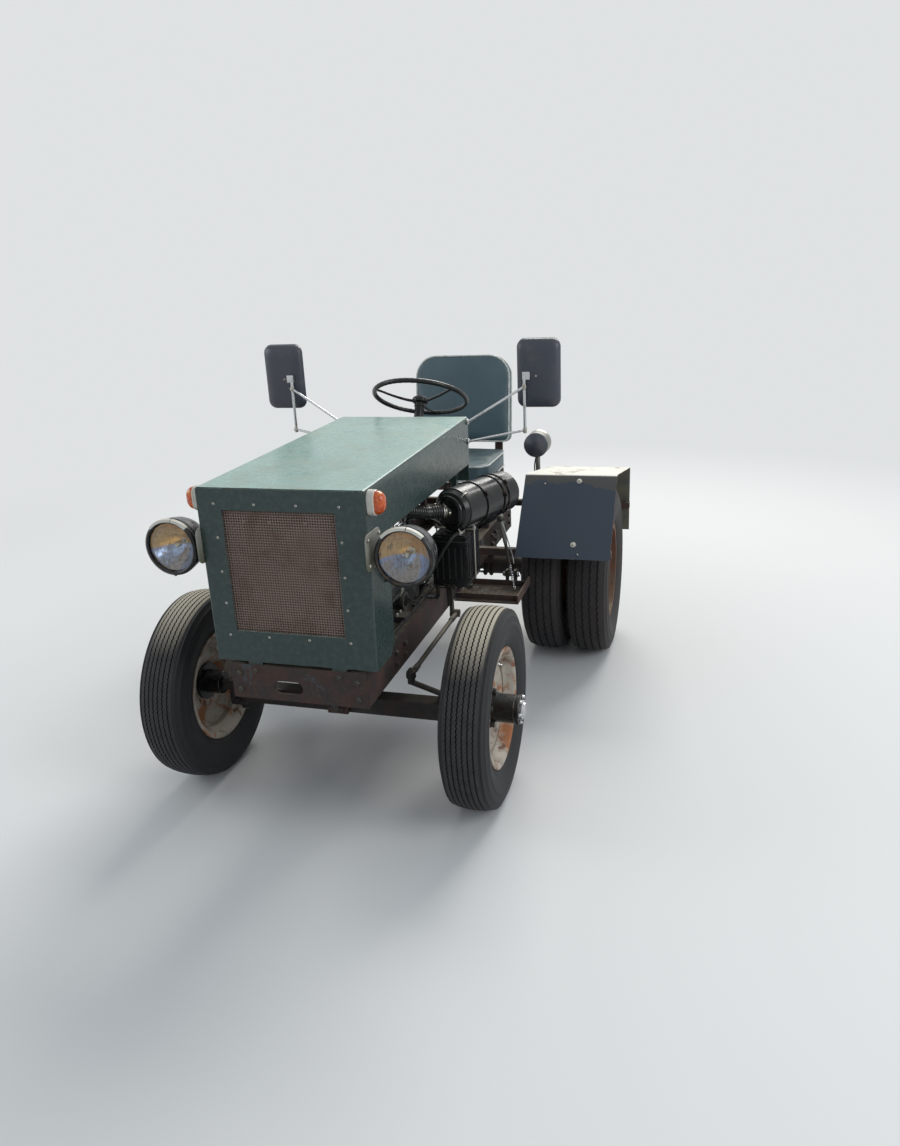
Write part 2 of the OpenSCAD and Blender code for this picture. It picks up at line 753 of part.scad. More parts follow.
// Battery below the can, on a tray over the rail
battery = [130, 190, 185];
battery_p = [rail_x + 22, 655, rail_top + 66];
tray_t = 5;
tray_leg = 30;
module battery_on_tray() {
    translate(battery_p) {
        cube(battery);
        translate([6, 6, 0]) cube([battery[0] - 12, battery[1] - 12, battery[2] + 6]);
    }
    translate(battery_p - [2, 2, tray_t]) cube([battery[0] + 4, battery[1] + 4, tray_t]);
    // Two angle legs on the rail
    for (y = [20, battery[1] - 20 - tray_leg]) translate([rail_x - 40, battery_p[1] + y, rail_top]) {
        cube([68, tray_leg, tray_t]);
        translate([68 - tray_t, 0, 0]) cube([tray_t, tray_leg, battery_p[2] - rail_top - tray_t / 2]);
    }
}

module air_cleaner() {
    r = cleaner_d / 2;
    color("black") placed() translate(cleaner_p) rotate([0, 0, -cleaner_turn]) rotate([-90, 0, 0]) {
        rotate_extrude($fn = 64) polygon([
            [0, 0], [r * 0.55, 2], [r * 0.86, 14], [r, 34], [r, cleaner_l - 26],
            [r * 0.86, cleaner_l - 8], [r * 0.5, cleaner_l], [0, cleaner_l]
        ]);
        for (z = [0.36, 0.66, 0.74]) translate([0, 0, cleaner_l * z]) cylinder(h = 14, r = r + 3);
    }
    color("black") placed() {
        // Hose to the carburettor
        bent_rod([
            cleaner_p + [12, 30, 0], [262, 606, cleaner_p[2] + 5], [196, 540, carb_top + 48],
            [inlet_x, carb_y, carb_top + 50], [inlet_x, carb_y, carb_top + gap]
        ], hose_d);
        // Leg from the rail up to the can
        leg_x = cleaner_p[0] + leg_run * tan(cleaner_turn);
        leg_top = cleaner_p[2] - r + 6;
        translate([0, cleaner_p[1] + leg_run + leg_w / 2, 0]) rotate([90, 0, 0]) linear_extrude(leg_w) polygon([
            [rail_x - 30, rail_top], [rail_x - 18, rail_top], [rail_x - 18, rail_top + 120],
            [leg_x + 30, leg_top - 12], [leg_x + 30, leg_top], [leg_x - 30, leg_top],
            [leg_x - 30, leg_top - 30], [rail_x - 30, rail_top + 126]
        ]);
        battery_on_tray();
    }
}

// Nose: front panel folded back at both sides, side plates with a cut lower corner
flange = 22;
side_cut = 38;
module grille_opening() {
    plate_xz(
        -mesh_off - mesh_w / 2, -mesh_off + mesh_w / 2, mesh_z - mesh_h / 2, mesh_z + mesh_h / 2, -1, sheet + 2
    );
}
module front_panel() {
    color([0.2, 0.29, 0.28]) placed() {
        difference() {
            union() {
                plate_xz(fold_r - nose_x, nose_x - fold_r, nose_z0, nose_z1 - sheet - gap, 0, sheet);
                plate_xz(-nose_x, nose_x, hood_side_z, nose_z1 - sheet - gap, 0, sheet);
            }
            grille_opening();
        }
        // Flanges with round bends, up to the hood's lower edge
        difference() {
            translate([0, 0, nose_z0]) linear_extrude(hood_side_z - gap - nose_z0) difference() {
                mirror([0, 1]) folded(nose_w, flange, fold_r);
                translate([0, sheet]) mirror([0, 1]) folded(nose_w - 2 * sheet, flange, fold_r - sheet);
            }
            grille_opening();
        }
        both() translate([nose_x - sheet, 0, 0]) rotate([90, 0, -90]) linear_extrude(sheet) polygon([
            [-fold_r - sheet, nose_z0], [-fold_r - sheet, hood_side_z - gap], [-return_d, hood_side_z - gap],
            [-return_d, nose_z0 + side_cut], [side_cut - return_d, nose_z0]
        ]);
        // Tabs down to the front crossmember
        both() plate_xz(120, 170, rail_top, nose_z0, 0, sheet);
    }
}

// Mesh: a lattice of flat bars in a border behind the panel
mesh_edge = 22;
module grille_mesh() {
    w = mesh_w + 2 * mesh_edge;
    h = mesh_h + 2 * mesh_edge;
    color("sienna") placed() translate([-mesh_off, sheet + 3, mesh_z]) rotate([90, 0, 0]) linear_extrude(3) {
        difference() {
            square([w, h], center = true);
            square([mesh_w, mesh_h], center = true);
        }
        for (i = [-floor(mesh_w / 2 / mesh_pitch):floor(mesh_w / 2 / mesh_pitch)])
            translate([i * mesh_pitch - mesh_bar / 2, -mesh_h / 2 - 1]) square([mesh_bar, mesh_h + 2]);
        for (i = [-floor(mesh_h / 2 / mesh_pitch):floor(mesh_h / 2 / mesh_pitch)])
            translate([-mesh_w / 2 - 1, i * mesh_pitch - mesh_bar / 2]) square([mesh_w + 2, mesh_bar]);
    }
}

// Hood: one sheet folded over the engine with round bends, rising a little towards the rear
fold_r = 7;
hood_rise = atan((hood_z2 - nose_z1) / hood_l);
module folded(w, h, r) {
    translate([-w / 2, -h]) square([w, h - r]);
    translate([-w / 2 + r, -h]) square([w - 2 * r, h]);
    for (s = [-1, 1]) translate([s * (w / 2 - r), -r]) circle(r = r);
}

module hood() {
    deep = hood_z2 - hood_side_z + 60;
    long = hood_l + 60;
    color([0.2, 0.29, 0.28]) placed() difference() {
        translate([0, 0, nose_z1]) rotate([90 + hood_rise, 0, 0]) translate([0, 0, -long])
            linear_extrude(long + 30) difference() {
                folded(nose_w, deep, fold_r);
                translate([0, -sheet]) folded(nose_w - 2 * sheet, deep, fold_r - sheet);
            }
        // Trimmed square at the front, the rear and along the lower edge
        translate([-nose_w, -100, 0]) cube([2 * nose_w, 100, 2 * nose_z1]);
        translate([-nose_w, hood_l, 0]) cube([2 * nose_w, 200, 2 * nose_z1]);
        translate([-nose_w, -100, 0]) cube([2 * nose_w, long + 200, hood_side_z]);
        // The front panel stands under the hood's front edge
        plate_xz(-nose_w, nose_w, 0, nose_z1 - sheet, -1, sheet + gap + 1);
    }
}

// Dash panel closing the rear of the hood, with plain round gauges
column_d = 42;
stay_z = 1030;
dash_z0 = 930;
gauge_z = 1110;
gauge_d = 76;
module dash_panel() {
    z1 = hood_z2 - sheet - gap;
    w = nose_x - sheet - gap;
    color([0.2, 0.29, 0.28]) placed() {
        // The panel, its upper corners cut to fit the folds
        translate([0, hood_l, 0]) rotate([90, 0, 0]) linear_extrude(sheet) polygon([
            [-w, dash_z0], [w, dash_z0], [w, z1 - fold_r],
            [w - fold_r, z1], [fold_r - w, z1], [-w, z1 - fold_r]
        ]);
        for (x = [-150, -60]) along_y([x, hood_l, gauge_z], gauge_d, 14);
        // Feet on the rails
        both() translate([rail_x - 40, hood_l - sheet - 30, rail_top]) cube([30, 30, dash_z0 - rail_top + 40]);
        // Stay to the steering column
        column_y = wheel_y - (wheel_z - stay_z) * tan(column_lean);
        translate([-15, hood_l, stay_z]) cube([30, column_y - column_d / 2 / cos(column_lean) - gap - hood_l, 8]);
    }
}

// Headlamps: a turned bucket with its rim, on an arm and a plate at the nose's side
lamp_arm_y = 52;
lamp_plate_y = 32;
lamp_plate_w = 120;
lamp_plate_h = 150;
module lamp_shell() {
    r = lamp_d / 2;
    translate([lamp_x, 0, lamp_z]) rotate([-90, 0, 0]) {
        rotate_extrude($fn = 64) polygon([
            [r - 12, -6], [r - 4, -10], [r, -4], [r, 10], [r - 4, 14], [r - 5, 40], [r - 14, 80],
            [r - 34, lamp_l - 14], [r - 60, lamp_l], [0, lamp_l], [0, lamp_l - 6], [r - 62, lamp_l - 6],
            [r - 40, lamp_l - 20], [r - 20, 76], [r - 11, 38], [r - 12, 12]
        ]);
    }
    // Arm and round-cornered plate on the side of the nose
    along_x([nose_x + 1, lamp_arm_y, lamp_z], 21, lamp_x - nose_x - r + 10);
    translate([nose_x, lamp_plate_y, lamp_z - 7]) rotate([90, 0, 90])
        linear_extrude(3.5) rounded(lamp_plate_w, lamp_plate_h, 22);
}

module headlamp_shells() {
    color([0.05, 0.05, 0.05]) placed() both() lamp_shell();
}

module headlamp_lenses() {
    r = lamp_d / 2 - 12 - gap;
    color("lightyellow") placed() both() translate([lamp_x, 0, lamp_z]) rotate([-90, 0, 0])
        rotate_extrude($fn = 64)
            polygon([[0, -16], [r * 0.4, -14.5], [r * 0.75, -10], [r, -4], [r, 0], [0, 0]]);
}

// Turn lamps on the nose's top corners
module indicators() {
    color("orange") placed() both() translate([nose_x, 8 + indicator_w / 2, indicator_z]) rotate([0, 90, 0]) {
        linear_extrude(22) rounded(indicator_h, indicator_w, indicator_w / 2 - 1);
        translate([0, 0, 22]) linear_extrude(30) rounded(indicator_h - 8, indicator_w - 8, indicator_w / 2 - 5);
    }
}

// Steering column, its bracket, the lower shaft and the steering box on the left rail
column_dir = [0, -sin(column_lean), -cos(column_lean)];
wheel_p = [0, wheel_y, wheel_z];
joint_p = wheel_p + 620 * column_dir;
box_x0 = rail_x - rail_t - 100;
module steering_column() {
    color("black") placed() difference() {
        union() {
            rod(wheel_p + 45 * column_dir, wheel_p + 590 * column_dir, column_d);
            rod(wheel_p + 580 * column_dir, joint_p, 22);
            translate(joint_p) sphere(d = 44);
            rod(joint_p, [box_x0 + 22, drop_y + 40, drop_z + 10], 20);
            translate([box_x0, drop_y - 45, rail_z + rail_t + 5])
                cube([rail_x - rail_t - box_x0, 110, rail_h - 2 * rail_t - 7]);
            along_x([rail_x - rail_t, drop_y, drop_z], box_shaft + 7, rail_t);
        }
        along_x([rail_x - 42, drop_y, drop_z], box_shaft + 2 * fit, 60);
    }
}

module steering_wheel() {
    rim_t = 22;
    color("black") placed() translate(wheel_p) rotate([-column_lean, 0, 0]) {
        rotate_extrude($fn = 64) translate([wheel_d / 2 - rim_t / 2, 0]) circle(d = rim_t, $fn = 24);
        translate([0, 0, -44]) cylinder(h = 40, d = 52);
        for (a = [90, 210, 330]) rotate([0, 0, a])
            rod([10, 0, -20], [wheel_d / 2 - rim_t / 2, 0, 0], 12);
    }
}

// Seat: backrest with round upper corners, cushion, frame on the rails
back_t = 90;
back_lean = 8;
module back_outline() {
    h = back_z - seat_z - seat_t - 20;
    r = 110;
    translate([-seat_w / 2, 0]) square([seat_w, h - r]);
    translate([-seat_w / 2 + r, 0]) square([seat_w - 2 * r, h]);
    for (s = [-1, 1]) translate([s * (seat_w / 2 - r), h - r]) circle(r = r);
}

module seat_back() {
    color([0.2, 0.29, 0.28]) placed()
        translate([0, seat_y + seat_l, seat_z + seat_t + 20]) rotate([-back_lean, 0, 0])
        translate([0, back_t, 0]) rotate([90, 0, 0]) linear_extrude(back_t) back_outline();
}

module seat_cushion() {
    color([0.2, 0.29, 0.28]) placed() translate([0, seat_y + seat_l / 2, seat_z]) linear_extrude(seat_t)
        rounded(seat_w - 20, seat_l, 60);
}

module seat_frame() {
    leg = 30;
    color("dimgray") placed() {
        both() for (y = [seat_y + 30, seat_y + seat_l - 60])
            translate([rail_x - leg - 10, y, rail_top]) cube([leg, leg, seat_z - gap - rail_top]);
        for (y = [seat_y + 30, seat_y + seat_l - 60])
            translate([-rail_x + 10, y, seat_z - gap - leg]) cube([2 * rail_x - 20, leg, leg]);
        both() translate([rail_x - leg - 10, seat_y + 30, seat_z - gap - leg]) cube([leg, seat_l - 60, leg]);
        // Posts up the back of the backrest
        both() translate([rail_x - 80, seat_y + seat_l - 40, seat_z - gap - leg]) cube([40, 126, 8]);
        post_drop = seat_t + 20 + gap + leg - 8;
        both() translate([0, seat_y + seat_l, seat_z + seat_t + 20]) rotate([-back_lean, 0, 0])
            translate([rail_x - 80, back_t + gap, -post_drop]) cube([40, 8, post_drop + 230]);
    }
}

// Mudguards: a front plate, a sloping top and a plate behind, folded from one sheet
wheel_room = 30;
module mudguard() {
    t = sheet;
    z2 = guard_z1 - guard_fall;
    y0 = guard_front;
    y1 = frame_l + t;
    translate([guard_x0, 0, 0]) rotate([90, 0, 90]) linear_extrude(guard_x1 - guard_x0) polygon([
        [y0, guard_z0], [y0, guard_z1], [y1, z2], [y1, z2 - guard_rear_h], [y1 - t, z2 - guard_rear_h],
        [y1 - t, z2 - t], [y0 + t, guard_z1 - t], [y0 + t, guard_z0]
    ]);
    // Inner side, cut round the tyre
    difference() {
        translate([guard_x0 + t, 0, 0]) rotate([90, 0, -90]) linear_extrude(t) polygon([
            [-y0 - t, guard_z0], [-y0 - t, guard_z1 - t], [-y1 + t, z2 - t], [-y1 + t, z2 - guard_rear_h]
        ]);
        along_x([guard_x0 - 10, rear_axle_y, rear_wheel_z], rear_tyre_d + 2 * wheel_room, 30);
        for (y = guard_bars)
            translate([guard_x0 - 10, y - gap, 0]) cube([30, guard_bar + 2 * gap, rail_top + guard_bar + gap]);
    }
}

module mudguard_left() color([0.15, 0.2, 0.27]) placed() mudguard();
module mudguard_right() color([0.15, 0.2, 0.27]) placed() mirror([1, 0, 0]) mudguard();

// Foot plates on both sides of the gearbox, on brackets under the rails
floor_y0 = 985;
floor_l = 250;
floor_t = 6;
floor_z = rail_z - floor_t;
module floor_plates() {
    color("dimgray") placed() both() {
        translate([rail_x + gap, floor_y0, floor_z]) cube([guard_x0 - rail_x - 10, floor_l, floor_t]);
        for (y = [floor_y0 + 20, floor_y0 + floor_l - 50])
            translate([rail_x + gap, y, rail_z]) cube([guard_x0 - rail_x - 20, floor_t, 24]);
        translate([guard_x0 - 16, floor_y0, rail_z]) cube([floor_t, floor_l, 30]);
    }
}

// Clutch and brake pedals: flat arms on cross shafts, with pads for the feet
pedal_y = 1010;
pedal_z = 520;
pad_w = 60;
module pedal(x) {
    translate([x - 5, pedal_y, pedal_z]) rotate([90, 0, 90]) linear_extrude(10) polygon([
        [-14, -12], [14, -12], [94, 36], [80, 120], [58, 120], [70, 46], [-14, 12]
    ]);
    translate([x - pad_w / 2, pedal_y + 42, pedal_z + 106]) rotate([-20, 0, 0]) cube([pad_w, 12, 70]);
}

// Hand lever at the left foot plate: foot, fork and a rod that leans inwards
lever_foot = [430, 1208, rail_z];
lever_tip = [-40, -5, 295];
module hand_lever() {
    translate(lever_foot - [30, 15, 0]) cube([60, 30, 6]);
    for (x = [-23, 13]) translate(lever_foot + [x, -14, 5]) cube([10, 28, 60]);
    along_x(lever_foot + [-28, 0, 45], 20, 56);
    rod(lever_foot + [0, 0, 45], lever_foot + lever_tip, 14);
    translate(lever_foot + lever_tip) rotate([31, 17, 0]) sphere(d = 34);
}

module pedals() {
    left = rail_x + 60;
    color("dimgray") placed() {
        pedal(left);
        along_x([rail_x, pedal_y, pedal_z], 18, left - rail_x + 15);
        for (x = [60, 130]) pedal(-rail_x - x);
        along_x([-rail_x - 145, pedal_y, pedal_z], 18, 145);
        hand_lever();
    }
}

lever_x = -50;
lever_y = 1040;
lever_d = 14;
knob = [-70, 1260, 960];
module gear_lever() {
    color("black") placed() {
        along_z([lever_x, lever_y, gear_z + 70], 50, 30);
        bent_rod([[lever_x, lever_y, gear_z + 95], [lever_x - 10, lever_y + 80, 820], knob], lever_d);
        translate(knob) sphere(d = 44);
    }
}

// Mirrors: heads on two thin stays from the hood's rear corners
mirror_y = hood_l + 73;
stay_y = hood_l - 14;
stay_d = 10;
module mirror_arms() {
    // A post and a clamp on the crowned back of each head
    back_y = mirror_y + 10 - mirror_t;
    post = [mirror_x - 50, back_y - 20, mirror_z];
    color("silver") placed() both() {
        // Drop below the hood's rear edge, drop below the mirror's middle
        for (z = [[18, 47], [98, 220]]) {
            rod([nose_x + 4.8, stay_y, hood_z2 - z[0]], post - [0, 0, z[1]], stay_d);
            along_x([nose_x + gap, stay_y, hood_z2 - z[0]], 24, 5);
        }
        along_z(post + [0, 0, -230], stay_d + 2, 230);
        translate([post[0] - 8, post[1], mirror_z - 20]) cube([30, back_y - gap - post[1], 30]);
    }
}

mirror_t = 34;
mirror_r = 34;
crown = 12;
module mirror_heads() {
    color("black") placed() both() translate([mirror_x, mirror_y + 10, mirror_z]) rotate([90, 0, 0]) hull() {
        linear_extrude(mirror_t - crown, $fn = 32) rounded(mirror_w, mirror_h, mirror_r);
        linear_extrude(mirror_t, $fn = 32)
            rounded(mirror_w - 4 * crown, mirror_h - 4 * crown, mirror_r - crown);
    }
}

// Round work lamp behind the driver, on a post from the rear bar
lamp_post = [385, frame_l - guard_bar / 2];
work_lamp_d = 120;
work_lamp_l = 90;
work_lamp_z = 910;
module work_lamp() {
    foot = rail_top + guard_bar;
    color("gray") placed() {
        along_z([lamp_post[0], lamp_post[1], foot], 24, work_lamp_z - work_lamp_d / 2 + 5 - foot);
        along_y([lamp_post[0], lamp_post[1] - work_lamp_l / 2 - 5, work_lamp_z], work_lamp_d, work_lamp_l);
    }
}

frame();
front_axle_beam();
knuckle_left();
knuckle_right();
tie_rod();
drag_link();
drop_arm();
front_tyre_left();
front_tyre_right();
front_wheel_left();
front_wheel_right();
rear_tyres_left();
rear_tyres_right();
rear_wheels_left();
rear_wheels_right();
rear_axle();
drawbar();
gearbox();
engine_block();
cylinder_head();
exhaust();
generator();
fan();
radiator();
air_cleaner();
front_panel();
grille_mesh();
hood();
dash_panel();
headlamp_shells();
headlamp_lenses();
indicators();
steering_column();
steering_wheel();
seat_back();
seat_cushion();
seat_frame();
mudguard_left();
mudguard_right();
floor_plates();
pedals();
gear_lever();
mirror_arms();
mirror_heads();
work_lamp();
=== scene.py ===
# %% [markdown]
# # A small home-built farm tractor
#
# The tractor stands on two single front wheels and two twin rear wheels. A channel frame carries
# an open four-cylinder engine under a nose folded from steel sheet, and the driver sits high
# between two mudguards. This file dresses the fixed frame that holds its sizes: it keeps the
# turned and cut iron pieces, gives them paint, rust and dust, and makes the thin sheets, tyres,
# lamps and cushions again with the finer forms that a real one shows.
#
# Every length is in metres. X is across, with the tractor's left side at +X, and its nose
# points to -Y. The ground is Z = 0.

# %% Load the fixed frame and keep its size
import json
import math

import bmesh
import bpy
from mathutils import Matrix, Vector, noise


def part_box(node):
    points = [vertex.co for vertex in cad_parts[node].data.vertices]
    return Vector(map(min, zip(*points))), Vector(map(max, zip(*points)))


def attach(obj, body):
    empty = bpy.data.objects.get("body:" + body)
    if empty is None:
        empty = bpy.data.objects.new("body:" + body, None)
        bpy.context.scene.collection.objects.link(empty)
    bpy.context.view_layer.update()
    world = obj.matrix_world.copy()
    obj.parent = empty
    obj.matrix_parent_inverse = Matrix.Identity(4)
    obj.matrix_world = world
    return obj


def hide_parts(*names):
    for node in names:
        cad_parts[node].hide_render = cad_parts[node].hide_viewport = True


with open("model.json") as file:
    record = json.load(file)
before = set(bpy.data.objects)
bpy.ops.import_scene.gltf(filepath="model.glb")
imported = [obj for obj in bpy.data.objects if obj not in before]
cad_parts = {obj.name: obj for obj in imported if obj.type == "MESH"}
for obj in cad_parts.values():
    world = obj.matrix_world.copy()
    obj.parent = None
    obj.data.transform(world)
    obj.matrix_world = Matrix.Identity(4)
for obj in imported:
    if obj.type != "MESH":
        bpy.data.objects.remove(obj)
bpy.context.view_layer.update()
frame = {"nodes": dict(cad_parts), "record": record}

# %% [markdown]
# Lengths along a tractor are easiest to think of from its nose. The helper below takes a place
# as metres to the left, metres behind the face of the front panel, and metres above the ground,
# and every piece further down uses it. The names of sides and directions are set here as well.
# The sections of small turned pieces, and the sizes of bolts, are given in millimetres, as a
# workshop would.

# %% Places measured from the nose
NOSE_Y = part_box("front_panel")[0].y
LEFT, RIGHT = 1, -1
SIDES = (LEFT, RIGHT)
NAMED_SIDES = ((LEFT, "left"), (RIGHT, "right"))
UP, DOWN, FORWARD, BACK = (0, 0, 1), (0, 0, -1), (0, -1, 0), (0, 1, 0)
MM = 0.001


def at(x, y, z):
    """A point x to the left of the middle, y behind the front panel, z above the ground."""
    return Vector((x, NOSE_Y + y, z))


def mm(*pairs):
    """A section given in millimetres, as pairs of radius and distance."""
    return [(a * MM, b * MM) for a, b in pairs]


FRONT_AXLE, REAR_AXLE = at(0, 0.313, 0.345), at(0, 1.700, 0.385)
print("front panel stands at Y =", round(NOSE_Y, 4))

# %% [markdown]
# ## The camera
#
# The view was taken by someone standing about three metres in front of the left front wheel,
# with the lens a little over head height of a seated driver and looking down. A camera in
# Blender looks along its own -Z, so its rotation is built from three unit vectors: right, up
# and the reverse of the way it looks.

# %% Camera
YAW, PITCH, ROLL = (math.radians(a) for a in (-16.91, 18.81, -2.74))
LENS_PER_WIDTH = 878.2 / 900
SENSOR = 36.0
EYE = at(1.2166, -2.2864, 1.7452)

look = Vector((math.sin(YAW) * math.cos(PITCH), math.cos(YAW) * math.cos(PITCH), -math.sin(PITCH)))
side = Vector((math.cos(YAW), -math.sin(YAW), 0))
up = side.cross(look)
right = side * math.cos(ROLL) + up * math.sin(ROLL)
up = up * math.cos(ROLL) - side * math.sin(ROLL)

camera = bpy.data.objects.new("camera", bpy.data.cameras.new("camera"))
bpy.context.scene.collection.objects.link(camera)
turn = Matrix((right, up, -look)).transposed()
camera.matrix_world = Matrix.Translation(EYE) @ turn.to_4x4()
camera.data.sensor_fit = "HORIZONTAL"
camera.data.sensor_width = SENSOR
camera.data.lens = LENS_PER_WIDTH * SENSOR
bpy.context.scene.camera = camera
print("lens:", round(camera.data.lens, 2), "mm")

# %% [markdown]
# ## Light and ground
#
# On a bright day most light comes from above and behind this tractor, so its hood gleams and
# its face lies in soft shade. Three big soft lamps do that here: a strong one high behind, a
# weak one on the left, and a weaker one on the right. The world adds an even glow, so
# that a colour renders about as it is written. What the lens sees behind the object is a pale
# ground that curves up into a wall, made as one swept sheet.

# %% Soft lamps and an even sky
scene = bpy.context.scene
scene.view_settings.view_transform = "Standard"
SKY, WORLD_LIGHT = (0.86, 0.93, 1.0), 0.46
BACKDROP, WALL = (0.66, 0.67, 0.67), (0.74, 0.76, 0.77)
GLOW_FROM, GLOW_TO = 2.4, 6.0
WARM, COOL = (1.0, 0.97, 0.92), (0.94, 0.97, 1.0)


def soft_lamp(name, place, aim, size, power, colour):
    lamp = bpy.data.objects.new(name, bpy.data.lights.new(name, "AREA"))
    lamp.data.shape = "RECTANGLE"
    lamp.data.size, lamp.data.size_y = size
    lamp.data.energy = power
    lamp.data.color = colour
    lamp.location = place
    lamp.rotation_mode = "QUATERNION"
    lamp.rotation_quaternion = (Vector(aim) - Vector(place)).to_track_quat("-Z", "Y")
    scene.collection.objects.link(lamp)


soft_lamp("light_behind", (1.4, 8.4, 8.8), (0, 0, 0.8), (8.0, 5.6), 1250, WARM)
soft_lamp("light_left", (5.2, -1.8, 3.2), (0, 0.2, 0.7), (3.4, 2.6), 110, COOL)
soft_lamp("light_right", (-4.6, -1.6, 2.8), (0, 0, 0.6), (3.0, 2.4), 60, COOL)


def seen_directly(tree, path):
    """1 where the lens, or glass or metal, looks at a surface, and 0 where it only gives light."""
    value = path.outputs["Is Camera Ray"]
    for ray in ("Is Glossy Ray", "Is Transmission Ray"):
        larger = tree.nodes.new("ShaderNodeMath")
        larger.operation = "MAXIMUM"
        tree.links.new(value, larger.inputs[0])
        tree.links.new(path.outputs[ray], larger.inputs[1])
        value = larger.outputs[0]
    return value


world = bpy.data.worlds.new("sky")
scene.world = world
world.use_nodes = True
sky = world.node_tree
sky.nodes["Background"].inputs["Color"].default_value = (*SKY, 1)
sky.nodes["Background"].inputs["Strength"].default_value = WORLD_LIGHT
wall_glow = sky.nodes.new("ShaderNodeBackground")
wall_glow.inputs["Color"].default_value = (*WALL, 1)
path = sky.nodes.new("ShaderNodeLightPath")
seen = sky.nodes.new("ShaderNodeMixShader")
sky.links.new(seen_directly(sky, path), seen.inputs[0])
sky.links.new(sky.nodes["Background"].outputs[0], seen.inputs[1])
sky.links.new(wall_glow.outputs[0], seen.inputs[2])
sky.links.new(seen.outputs[0], sky.nodes["World Output"].inputs[0])

# %% [markdown]
# ## Small makers of shape
#
# Most real pieces of a machine are one of four things: a ring of points swept along a way, an
# outline turned round an axle, a flat plate with soft edges, or a bolt. Short helpers make these
# with bmesh. Each adds to a mesh that is being built, so that many small things become one
# piece, and the last helper puts the finished mesh on a body of the frame.

# %% Rings, turned forms and pipes
def skin(bm, rings, closed=True, wrap=False, caps=False):
    """Faces between rings of points that have equal counts."""
    rows = [[bm.verts.new(p) for p in ring] for ring in rings]
    count = len(rows[0])
    pairs = list(zip(rows, rows[1:]))
    if wrap:
        pairs.append((rows[-1], rows[0]))
    for a, b in pairs:
        for i in range(count if closed else count - 1):
            j = (i + 1) % count
            bm.faces.new((a[i], a[j], b[j], b[i]))
    if caps:
        bm.faces.new(rows[0][::-1])
        bm.faces.new(rows[-1])
    return rows


def facing(place, axis, up_hint=None):
    """A matrix whose Z is the axis, at a place."""
    z = Vector(axis).normalized()
    hint = Vector(up_hint) if up_hint else (Vector(UP) if abs(z.z) < 0.9 else Vector(BACK))
    x = hint.cross(z).normalized()
    y = z.cross(x)
    turn = Matrix((x, y, z)).transposed().to_4x4()
    return Matrix.Translation(Vector(place)) @ turn


def turned(bm, profile, place, axis, steps=48, start=0.0):
    """A form turned round an axis from points of (radius, distance along the axis)."""
    m = facing(place, axis)
    rings = []
    for i in range(steps):
        a = start + math.tau * i / steps
        rings.append([m @ Vector((r * math.cos(a), r * math.sin(a), h)) for r, h in profile])
    skin(bm, rings, closed=False, wrap=True)


def all_round(axis, count, start=0.0):
    """Angles spaced evenly round an axis, each with its unit vector."""
    for k in range(count):
        a = start + math.tau * k / count
        c, s = math.cos(a), math.sin(a)
        yield a, Vector({"x": (0, c, s), "y": (c, 0, s), "z": (c, s, 0)}[axis])


def pipe(bm, path, radius, sides=10, caps=True, wrap=False):
    """A round bar along points. The radius is one number or one for each point."""
    count = len(path)
    radii = radius if isinstance(radius, list) else [radius] * count
    side_way, rings = None, []
    for i, p in enumerate(path):
        if wrap:
            way = path[(i + 1) % count] - path[i - 1]
        else:
            way = path[min(i + 1, count - 1)] - path[max(i - 1, 0)]
        way = way.normalized()
        if side_way is None:
            side_way = way.orthogonal().normalized()
        side_way = (side_way - way * side_way.dot(way)).normalized()
        other = way.cross(side_way)
        ring = []
        for k in range(sides):
            a = math.tau * k / sides
            ring.append(p + (side_way * math.cos(a) + other * math.sin(a)) * radii[i])
        rings.append(ring)
    skin(bm, rings, wrap=wrap, caps=caps and not wrap)


def bend_through(points, steps=6):
    """A smooth way through points, as a bent wire or hose takes."""
    count, out = len(points), []
    for i in range(count - 1):
        a, b, c, d = [points[max(0, min(count - 1, i + k))] for k in (-1, 0, 1, 2)]
        for k in range(steps):
            t = k / steps
            out.append(0.5 * (2 * b + (c - a) * t + (2 * a - 5 * b + 4 * c - d) * t * t
                              + (3 * b - a - 3 * c + d) * t ** 3))
    return out + [points[-1]]

# %% Plates, bolts and the finished piece
def plate(bm, outline, place, axis, thick, edge=0.0008, up_hint=None):
    """A flat plate with chamfered edges from a convex outline of (x, y), its back at the place."""
    m = facing(place, axis, up_hint)
    centre = sum((Vector(p) for p in outline), Vector((0, 0))) / len(outline)

    def ring(inset, h):
        points = []
        for p in outline:
            out = Vector(p) - centre
            points.append(m @ Vector((*(centre + out * (1 - inset / max(out.length, 1e-6))), h)))
        return points

    skin(bm, [ring(edge, 0), ring(0, edge), ring(0, thick - edge), ring(edge, thick)], caps=True)


def round_box(w, h, r, steps=5):
    """The outline of a rectangle with round corners."""
    points = []
    for k, (sx, sy) in enumerate(((1, 1), (-1, 1), (-1, -1), (1, -1))):
        for i in range(steps + 1):
            a = math.pi / 2 * (k + i / steps)
            points.append((sx * (w / 2 - r) + r * math.cos(a), sy * (h / 2 - r) + r * math.sin(a)))
    return points


def bolt(bm, place, axis, across, height, washer=True, spin=0.0):
    """A hexagon head on a washer, standing out along the axis, its sizes in millimetres."""
    r, height, low = across * MM / math.sqrt(3), height * MM, 0.0
    if washer:
        low = 1.6 * MM
        turned(bm, [(0, 0), (r * 1.32, 0), (r * 1.32, low * 0.8), (r * 1.2, low), (0, low)], place, axis, 16)
    head = [(0, low), (r, low), (r, low + height * 0.8), (r * 0.84, low + height), (0, low + height)]
    turned(bm, head, place, axis, 6, start=spin)


